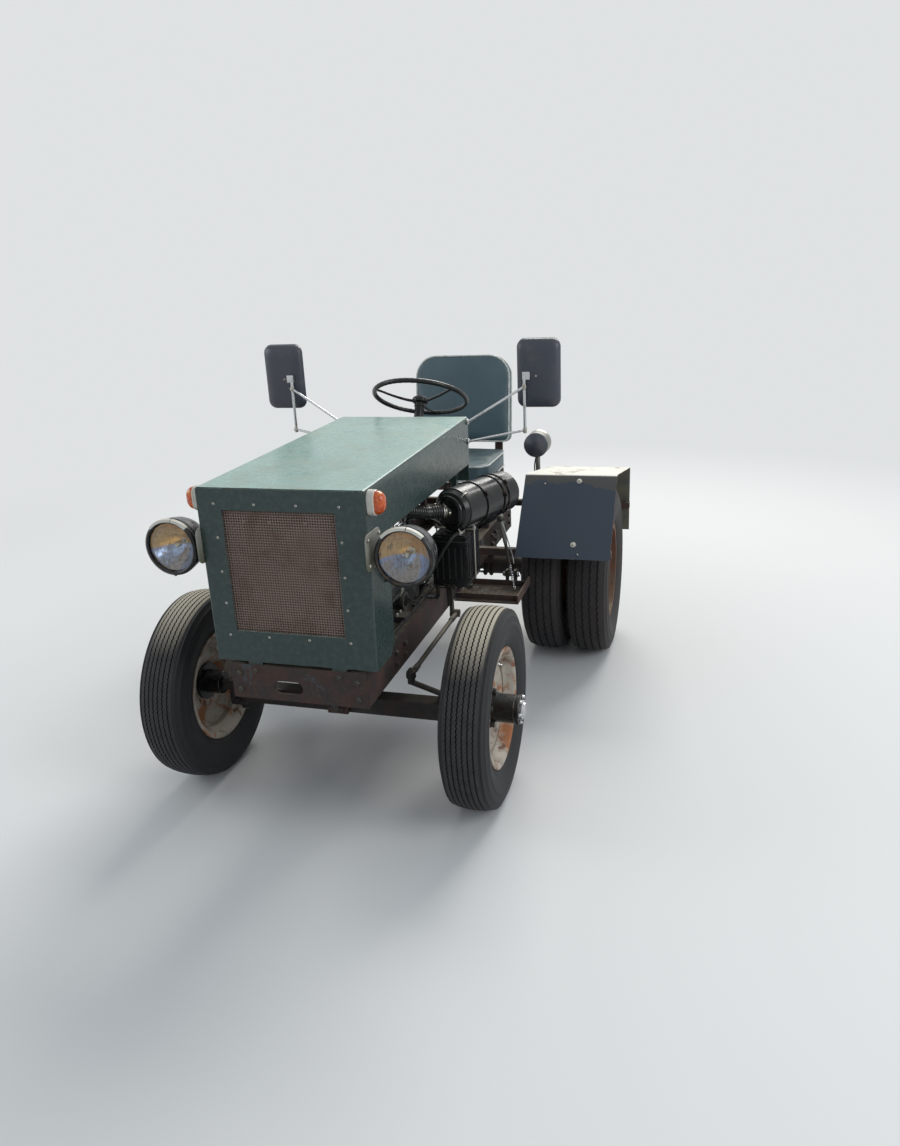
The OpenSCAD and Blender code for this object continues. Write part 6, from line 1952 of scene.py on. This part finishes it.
# %% Rear axle: U-bolts, cover bolts, brake pipe in clips
def make_axle_parts():
    steel, copper_pipe = bmesh.new(), bmesh.new()
    for s in SIDES:
        for x in (0.192, 0.222):
            loop = [at(s * x, AXLE_Y - 0.052, 0.472), at(s * x, AXLE_Y - 0.052, AXLE_Z)]
            loop += [at(s * x, AXLE_Y - 0.052 * math.cos(a),
                        AXLE_Z - 0.052 * math.sin(a)) for a in spread(0.3, 2.84, 9)]
            loop += [at(s * x, AXLE_Y + 0.052, AXLE_Z), at(s * x, AXLE_Y + 0.052, 0.472)]
            pipe(steel, loop, 0.0058, 8)
            for y in (AXLE_Y - 0.052, AXLE_Y + 0.052):
                bolt(steel, at(s * x, y, 0.472), UP, 17, 12)
        for a, way in all_round("x", 8):
            bolt(steel, at(s * 0.4535, AXLE_Y, AXLE_Z) + way * 0.066, (-s, 0, 0), 13, 7, True, a)
    for a, way in all_round("y", 10):
        bolt(steel, at(0, AXLE_Y + 0.055, AXLE_Z) + way * 0.1305, BACK, 12, 7, False, a)
        bolt(steel, at(0, AXLE_Y - 0.065, AXLE_Z) + way * 0.1300, FORWARD, 12, 7, False, a)
    bolt(steel, at(0.046, AXLE_Y + 0.090, AXLE_Z - 0.020), BACK, 22, 10)
    for a, way in all_round("y", 12, math.tau / 24):
        if abs(way.z) < 0.94:
            bolt(steel, at(0, 0.720, CRANK_Z) + way * 0.153, BACK, 13, 8, True, a)
    for y in (0.850, 0.930, 1.010, 1.070):
        for s in SIDES:
            bolt(steel, at(s * 0.078, y, 0.595), UP, 12, 7)
    for y, z in ((1.1965, 0.525), (1.484, AXLE_Z)):
        for a, way in all_round("y", 4, math.tau / 8):
            bolt(steel, at(0, y, z) + way * 0.033, BACK, 11, 8, False, a)
    lead(copper_pipe, [(-0.250, 1.010, 0.560), (-0.244, 1.060, 0.545), (-0.242, 1.150, 0.560),
                       (-0.242, 1.560, 0.560), (-0.226, 1.610, 0.480), (-0.150, 1.650, 0.436),
                       (-0.060, 1.655, 0.4335)], 0.0028, 7)
    for s in SIDES:
        lead(copper_pipe, [(s * 0.150, 1.700, 0.4335), (s * 0.300, 1.700, 0.4335), (s * 0.420, 1.690, 0.430),
                           (s * 0.452, 1.676, 0.424)], 0.0028, 7)
    lead(copper_pipe, [(-0.150, 1.700, 0.4335), (-0.100, 1.662, 0.470), (-0.06, 1.650, 0.452),
                       (0, 1.640, 0.470), (0.100, 1.662, 0.470), (0.150, 1.700, 0.4335)], 0.0028, 7)
    for y in (1.120, 1.300, 1.480):
        plate(steel, round_box(0.012, 0.026, 0.003, 2), at(-0.2352, y, 0.564), (-1, 0, 0), 0.0085, 0.001, UP)
    finish_piece("axle_bolts", steel, axle_steel)
    finish_piece("brake_pipes", copper_pipe, copper, crease=60)


make_axle_parts()

# %% Steering: boots, nuts, split pins and grease nipples on each moving body
def ball_dress(rubber_bm, steel_bm, place, up):
    """A rubber boot with a castle nut and a split pin, beyond a ball joint's socket."""
    way = Vector((0, 0, up))
    turned(rubber_bm, mm((15.2, -12), (17.5, -9), (17.8, -3), (16.5, 1), (17.5, 6), (15.2, 10)),
           place, way, 24)
    bolt(steel_bm, place + way * 0.0130, way, 17, 8)
    turned(steel_bm, mm((3.5, 15), (3.5, 27), (2, 28), (0, 28)), place, way, 10)


def make_steering_parts():
    for body, places in (("tie_rod", [(s * 0.388, 0.433, 0.2383) for s in SIDES]),
                         ("drag_link", [(0.268, 0.313, 0.440)])):
        rubber_bm, steel = bmesh.new(), bmesh.new()
        for p in places:
            ball_dress(rubber_bm, steel, at(*p), -1 if body == "tie_rod" else 1)
        if body == "tie_rod":
            for s in SIDES:
                pipe(steel, [at(s * 0.300, 0.433, 0.2383), at(s * 0.345, 0.433, 0.2383)], 0.0122, 6)
        else:
            pipe(steel, [at(0.268, 0.345, 0.440), at(0.268, 0.390, 0.440)], 0.0122, 6)
            pipe(steel, [at(0.268, 0.820, 0.440), at(0.268, 0.865, 0.440)], 0.0122, 6)
        finish_piece(body + "_boots", rubber_bm, hose_rubber, body, crease=50)
        finish_piece(body + "_nuts", steel, link_steel, body)
    for s, side_name in NAMED_SIDES:
        bm = bmesh.new()
        for z, way in ((0.3758, 1), (0.2585, -1)):
            place = at(s * 0.388, 0.313, z)
            if not (s == LEFT and way > 0):
                turned(bm, mm((19, 0), (19, 4), (13, 7), (4, 7), (3.5, 13), (4.5, 16), (0, 18)),
                       place, (0, 0, way), 22)
        for dy in (-0.016, 0.016):
            for dz in (0.010, -0.048):
                bolt(bm, at(s * 0.436, 0.313 + dy, 0.345 + dz), (s, 0, 0), 10, 6)
        finish_piece("kingpin_caps_" + side_name, bm, link_steel, "knuckle_" + side_name)
    bm = bmesh.new()
    bolt(bm, at(0.255, 0.900, 0.560), (1, 0, 0), 30, 16)
    finish_piece("drop_arm_nut", bm, link_steel, "drop_arm")
    bm = bmesh.new()
    for dx, dy in ((0.014, -0.034), (0.014, 0.052), (0.086, -0.034), (0.086, 0.052)):
        bolt(bm, at(0.128 + dx, 0.900 + dy, 0.578), UP, 12, 7)
    hose_clamp(bm, at(0, 1.332, 1.1121), (0, 0.469, 0.883), 0.0214, 1.2)
    hose_clamp(bm, at(0, 1.268, 0.9917), (0, 0.469, 0.883), 0.0214, 2.2)
    finish_piece("steering_fittings", bm, zinc)


make_steering_parts()

# %% [markdown]
# ## The driver's place
#
# Each mudguard is one folded sheet close over its twin tyres: a flap in front that leans back, a
# top that falls to the rear, and an upright rear plate. The flap and the rear plate stand on the
# two cross bars, with short angles between, and an inner side plate is cut round to clear the
# tyre. A sweep of the side view across the width makes the sheet, since its folds are round.

# %% Mudguards folded from sheet
GUARD_X0, GUARD_X1, GUARD_FOLD = 0.447, 0.848, 0.016
GUARD_LINE = ((1.205, 0.590), (1.470, 0.894), (2.1035, 0.790), (2.1035, 0.468))
INNER_CUT = 0.402


def guard_side_view():
    """The sheet's outer face from the flap's foot to the rear plate's foot, with round folds."""
    corners = [Vector(p) for p in GUARD_LINE]
    line = [corners[0].lerp(corners[1], k / 8) for k in range(8)]
    for before, corner, after in zip(corners, corners[1:], corners[2:]):
        come, go = (before - corner).normalized(), (after - corner).normalized()
        start, end = corner + come * GUARD_FOLD, corner + go * GUARD_FOLD
        line += [start.lerp(corner, t).lerp(corner.lerp(end, t), t) for t in spread(0, 1, 6)]
        if corner == corners[1]:
            line += [corner.lerp(after, t) for t in spread(0.06, 0.94, 12)]
    return line + [corners[2].lerp(corners[3], t) for t in spread(0.1, 1, 8)]


FLAP_FOOT, FLAP_HEAD = Vector(GUARD_LINE[0]), Vector(GUARD_LINE[1])
FLAP_WAY = (FLAP_HEAD - FLAP_FOOT).normalized()
FLAP_OUT = Vector((0, -FLAP_WAY.y, FLAP_WAY.x))


def on_flap(x, z):
    """A point of the flap's outer face at a height."""
    y = FLAP_FOOT.x + (FLAP_HEAD.x - FLAP_FOOT.x) * (z - FLAP_FOOT.y) / (FLAP_HEAD.y - FLAP_FOOT.y)
    return at(x, y, z)


def make_guard(s, side):
    bm, side_view = bmesh.new(), guard_side_view()
    grid = []
    for x in spread(GUARD_X0, GUARD_X1, 14):
        line = []
        for y, z in side_view:
            p = at(s * x, y, z)
            sway = 0.0008 * wave(p, 3.4, 9.0) + 0.0006
            line.append(p + Vector((0, sway, -sway)) if y < 2.0 else p)
        grid.append(line)
    thick_sheet(bm, grid, SHEET * s)
    wheel, rows = Vector((AXLE_Y, AXLE_Z)), ([], [])
    for p in side_view:
        if p.y > 0.70:
            out = p - wheel
            cut = wheel + out.normalized() * min(INNER_CUT, out.length - 0.004)
            rim = p - (p - cut).normalized() * 0.0031
            for row, q in zip(rows, (cut, rim)):
                row.append(at(s * (GUARD_X0 + 0.0003), q.x, q.y))
    thick_sheet(bm, rows, SHEET * s)
    for x in (0.530, 0.690):
        for y in (1.2485, 2.0835):
            plate(bm, round_box(0.060, 0.033, 0.003, 2), at(s * x, y, 0.6152), UP, 0.0028, 0.0004, BACK)
    guard = finish_piece("mudguard_sheet_" + side, bm, guard_paint, crease=50)
    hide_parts("mudguard_" + side)
    return soften(guard, 0.0007)


def make_guard_screws():
    steel = bmesh.new()
    for s in SIDES:
        for x, z, r in ((0.540, 0.855, 0.0), (0.688, 0.868, 0.0125), (0.690, 0.640, 0.0125),
                        (0.712, 0.606, 0.0)):
            place = on_flap(s * x, z)
            if r:
                turned(steel, [(0, 0), (r, 0), (r - 0.0005, 0.0018), (0, 0.0022)], place, FLAP_OUT, 26)
            dome_screw(steel, place + FLAP_OUT * 0.0018, FLAP_OUT, 7.2 if r else 5, 4.2)
        for x in (0.530, 0.690):
            bolt(steel, at(s * x, 1.2480, 0.6180), UP, 11, 6)
            bolt(steel, at(s * x, 2.0800, 0.6180), UP, 11, 6)
            bolt(steel, at(s * x, 2.1036, 0.600), BACK, 11, 6)
    finish_piece("guard_screws", steel, zinc)


make_guard(LEFT, "left")
make_guard(RIGHT, "right")
make_guard_screws()

# %% Chequer plate, pedal rubbers, springs and the gaiter
FLOOR_X, FLOOR_Y, FLOOR_TOP = (0.2353, 0.505), (0.985, 1.235), 0.465
PEDALS = (0.295, -0.295, -0.365)


def make_floor_parts():
    tread, pads, steel = bmesh.new(), bmesh.new(), bmesh.new()
    lozenge = [(-0.011, 0), (-0.004, -0.0026), (0.004, -0.0026), (0.011, 0), (0.004, 0.0026),
               (-0.004, 0.0026)]
    for s in SIDES:
        for i in range(10):
            for j in range(9):
                x, y = s * (FLOOR_X[0] + 0.020 + 0.0255 * i), FLOOR_Y[0] + 0.018 + 0.0265 * j
                way = (1, 1, 0) if (i + j) % 2 else (-1, 1, 0)
                plate(tread, lozenge, at(x, y, FLOOR_TOP - 0.0003), UP, 0.0020, 0.0009, way)
    for x in PEDALS:
        m = Matrix.Translation(at(x, 1.052, 0.626)) @ Matrix.Rotation(math.radians(-20), 4, "X")
        for k in range(6):
            place = m @ Vector((0, 0, 0.008 + 0.0108 * k))
            plate(pads, round_box(0.060, 0.0072, 0.002, 2), place, m.to_3x3() @ Vector(FORWARD), -0.016,
                  0.001, m.to_3x3() @ Vector(UP))
        coil(steel, at(x + 0.010, 1.080, 0.560), at(x + 0.010, 1.220, 0.520), 0.0062, 0.0013, 18)
        hose_clamp(steel, at(x - math.copysign(0.014, x), 1.010, 0.520), (1, 0, 0), 0.0092, 0.6)
    finish_piece("floor_lozenges", tread, frame_steel, crease=20)
    finish_piece("pedal_rubbers", pads, hose_rubber, crease=30)
    bm = bmesh.new()
    folds = mm((62, 0), (64, 6), (50, 12), (52, 20), (38, 27), (40, 35), (26, 42), (27, 50), (14, 58),
               (8.5, 64))
    turned(bm, folds, at(-0.050, 1.040, 0.596), (-0.08, 0.30, 1), 36)
    turned(bm, mm((22.5, -4), (23.6, 0), (22.5, 4)), at(-0.070, 1.260, 0.960), (-0.06, 0.79, 0.61), 36)
    finish_piece("gear_gaiter", bm, hose_rubber, crease=60)
    foot, tip = at(0.430, 1.208, 0.510), at(0.390, 1.203, 0.760)
    bm = bmesh.new()
    way = (tip - foot).normalized()
    sleeve = mm((7.2, 0), (8.6, 2), (9.2, 60), (9.8, 96), (8.6, 103), (6, 106))
    turned(bm, sleeve, foot.lerp(tip, 0.56), way, 20)
    turned(bm, mm((6, 0), (10, 4), (12.4, 12), (10.8, 21), (5, 26), (0, 27)),
           tip - way * 0.008, way, 24)
    finish_piece("hand_lever_grip", bm, alloy, crease=60)
    for x in (0.402, 0.458):
        bolt(steel, at(x, 1.208, 0.510), (math.copysign(1, x - 0.43), 0, 0), 16, 8)
    for x in (0.408, 0.452):
        bolt(steel, at(x, 1.196, 0.471), UP, 10, 6)
    coil(steel, at(0.424, 1.206, 0.560), at(0.462, 1.120, 0.474), 0.0058, 0.0013, 14)
    pipe(steel, [at(0.441, 1.208, 0.560), at(0.437, 1.200, 0.600), at(0.402, 1.194, 0.735)], 0.0026, 7)
    finish_piece("lever_fittings", steel, bright_rod)


make_floor_parts()

# %% Seat frame welds, work lamp, and what hangs under the dash
def make_cab_parts():
    welds, glass, steel, wires, drum = bmesh.new(), bmesh.new(), bmesh.new(), bmesh.new(), bmesh.new()
    for s in SIDES:
        for y in (1.630, 1.970):
            bead(welds, at(s * 0.195, y, 0.7697), at(s * 0.225, y, 0.7697), 0.003)
            bolt(steel, at(s * 0.170, y + 0.015, 0.7695), DOWN, 13, 8)
        bead(welds, at(s * 0.155, 2.110, 0.7775), at(s * 0.195, 2.110, 0.7775), 0.003)
        for z in (1.00, 1.08):
            lean = (z - 0.925) * math.tan(BACK_LEAN)
            bolt(steel, at(s * 0.175, 2.131 + lean, z), (0, 1, -0.14), 15, 8)
    lamp = at(0.385, 2.035, 0.910)
    rim = mm((52, -2), (54, -7), (60, -9), (62.5, -4), (62.5, 6), (60.5, 10))
    turned(steel, [(r, -h) for r, h in rim], at(0.385, 2.125, 0.910), FORWARD, 56)
    back = mm((61.2, -4), (61.2, 1), (56, 6), (30, 8.5), (26, 11.5), (0, 12))
    turned(drum, back, lamp, FORWARD, 48)
    turned(glass, mm((52.5, 0.5), (50, 6), (30, 11), (0, 13)), at(0.385, 2.125, 0.910), BACK, 48)
    for k in range(7):
        x = -0.036 + 0.012 * k
        high = math.sqrt(max(0.0, 0.048 ** 2 - x * x))
        pipe(glass, [at(0.385 + x, 2.133, 0.910 - high), at(0.385 + x, 2.136, 0.910),
                     at(0.385 + x, 2.133, 0.910 + high)], 0.0016, 6)
    bolt(steel, at(0.385, 2.085, 0.8485), DOWN, 19, 8)
    lead(wires, [(0.385, 2.050, 0.860), (0.372, 2.062, 0.800), (0.370, 2.082, 0.700), (0.370, 2.080, 0.625),
                 (0.300, 2.078, 0.618)], 0.0032, 7)
    lead(wires, [(0.262, 0.110, 0.845), (0.240, 0.160, 0.700), (0.215, 0.240, 0.600), (0.214, 0.420, 0.592),
                 (0.210, 0.900, 0.592), (0.190, 1.100, 0.610), (0.186, 1.128, 0.760), (0.176, 1.132, 0.930)],
         0.0062, 8)
    lead(wires, [(0.182, 0.412, 0.762), (0.190, 0.450, 0.730), (0.206, 0.520, 0.640), (0.212, 0.600, 0.600)],
         0.0038, 7)
    for x, z in ((-0.150, 1.09), (-0.060, 1.09), (0.060, 1.10), (0.110, 1.10), (0.160, 1.10)):
        lead(wires, [(x, 1.150, z), (x + 0.006, 1.128, z - 0.020), (x * 0.7 + 0.04, 1.120, 1.020),
                     (0.150, 1.128, 0.960), (0.176, 1.132, 0.930)], 0.0024, 6)
    box = at(0.120, 1.1545, 0.985)
    plate(steel, round_box(0.080, 0.060, 0.006, 3), box, FORWARD, 0.034, 0.003, UP)
    finish_piece("cab_welds", welds, frame_steel, crease=70)
    finish_piece("cab_fittings", steel, zinc)
    finish_piece("work_lamp_glass", glass, lens_glass, crease=60)
    finish_piece("work_lamp_back", drum, mirror_plastic, crease=40)
    finish_piece("cab_wires", wires, hose_rubber, crease=60)


make_cab_parts()

# %% Rounded edges on sheet, channel and bar
for node, width in (("frame", 0.0022), ("front_axle_beam", 0.0040), ("rear_axle", 0.0020),
                    ("floor_plates", 0.0008), ("pedals", 0.0010), ("seat_frame", 0.0016),
                    ("dash_panel", 0.0008), ("drawbar", 0.0030), ("drop_arm", 0.0015),
                    ("work_lamp", 0.0030), ("mirror_arms", 0.0008), ("exhaust", 0.0015), ("fan", 0.0006),
                    ("rear_wheels_left", 0.0012), ("rear_wheels_right", 0.0012)):
    soften(frame["nodes"][node], width, 2, 50)
print("frame, axles and cab dressed")
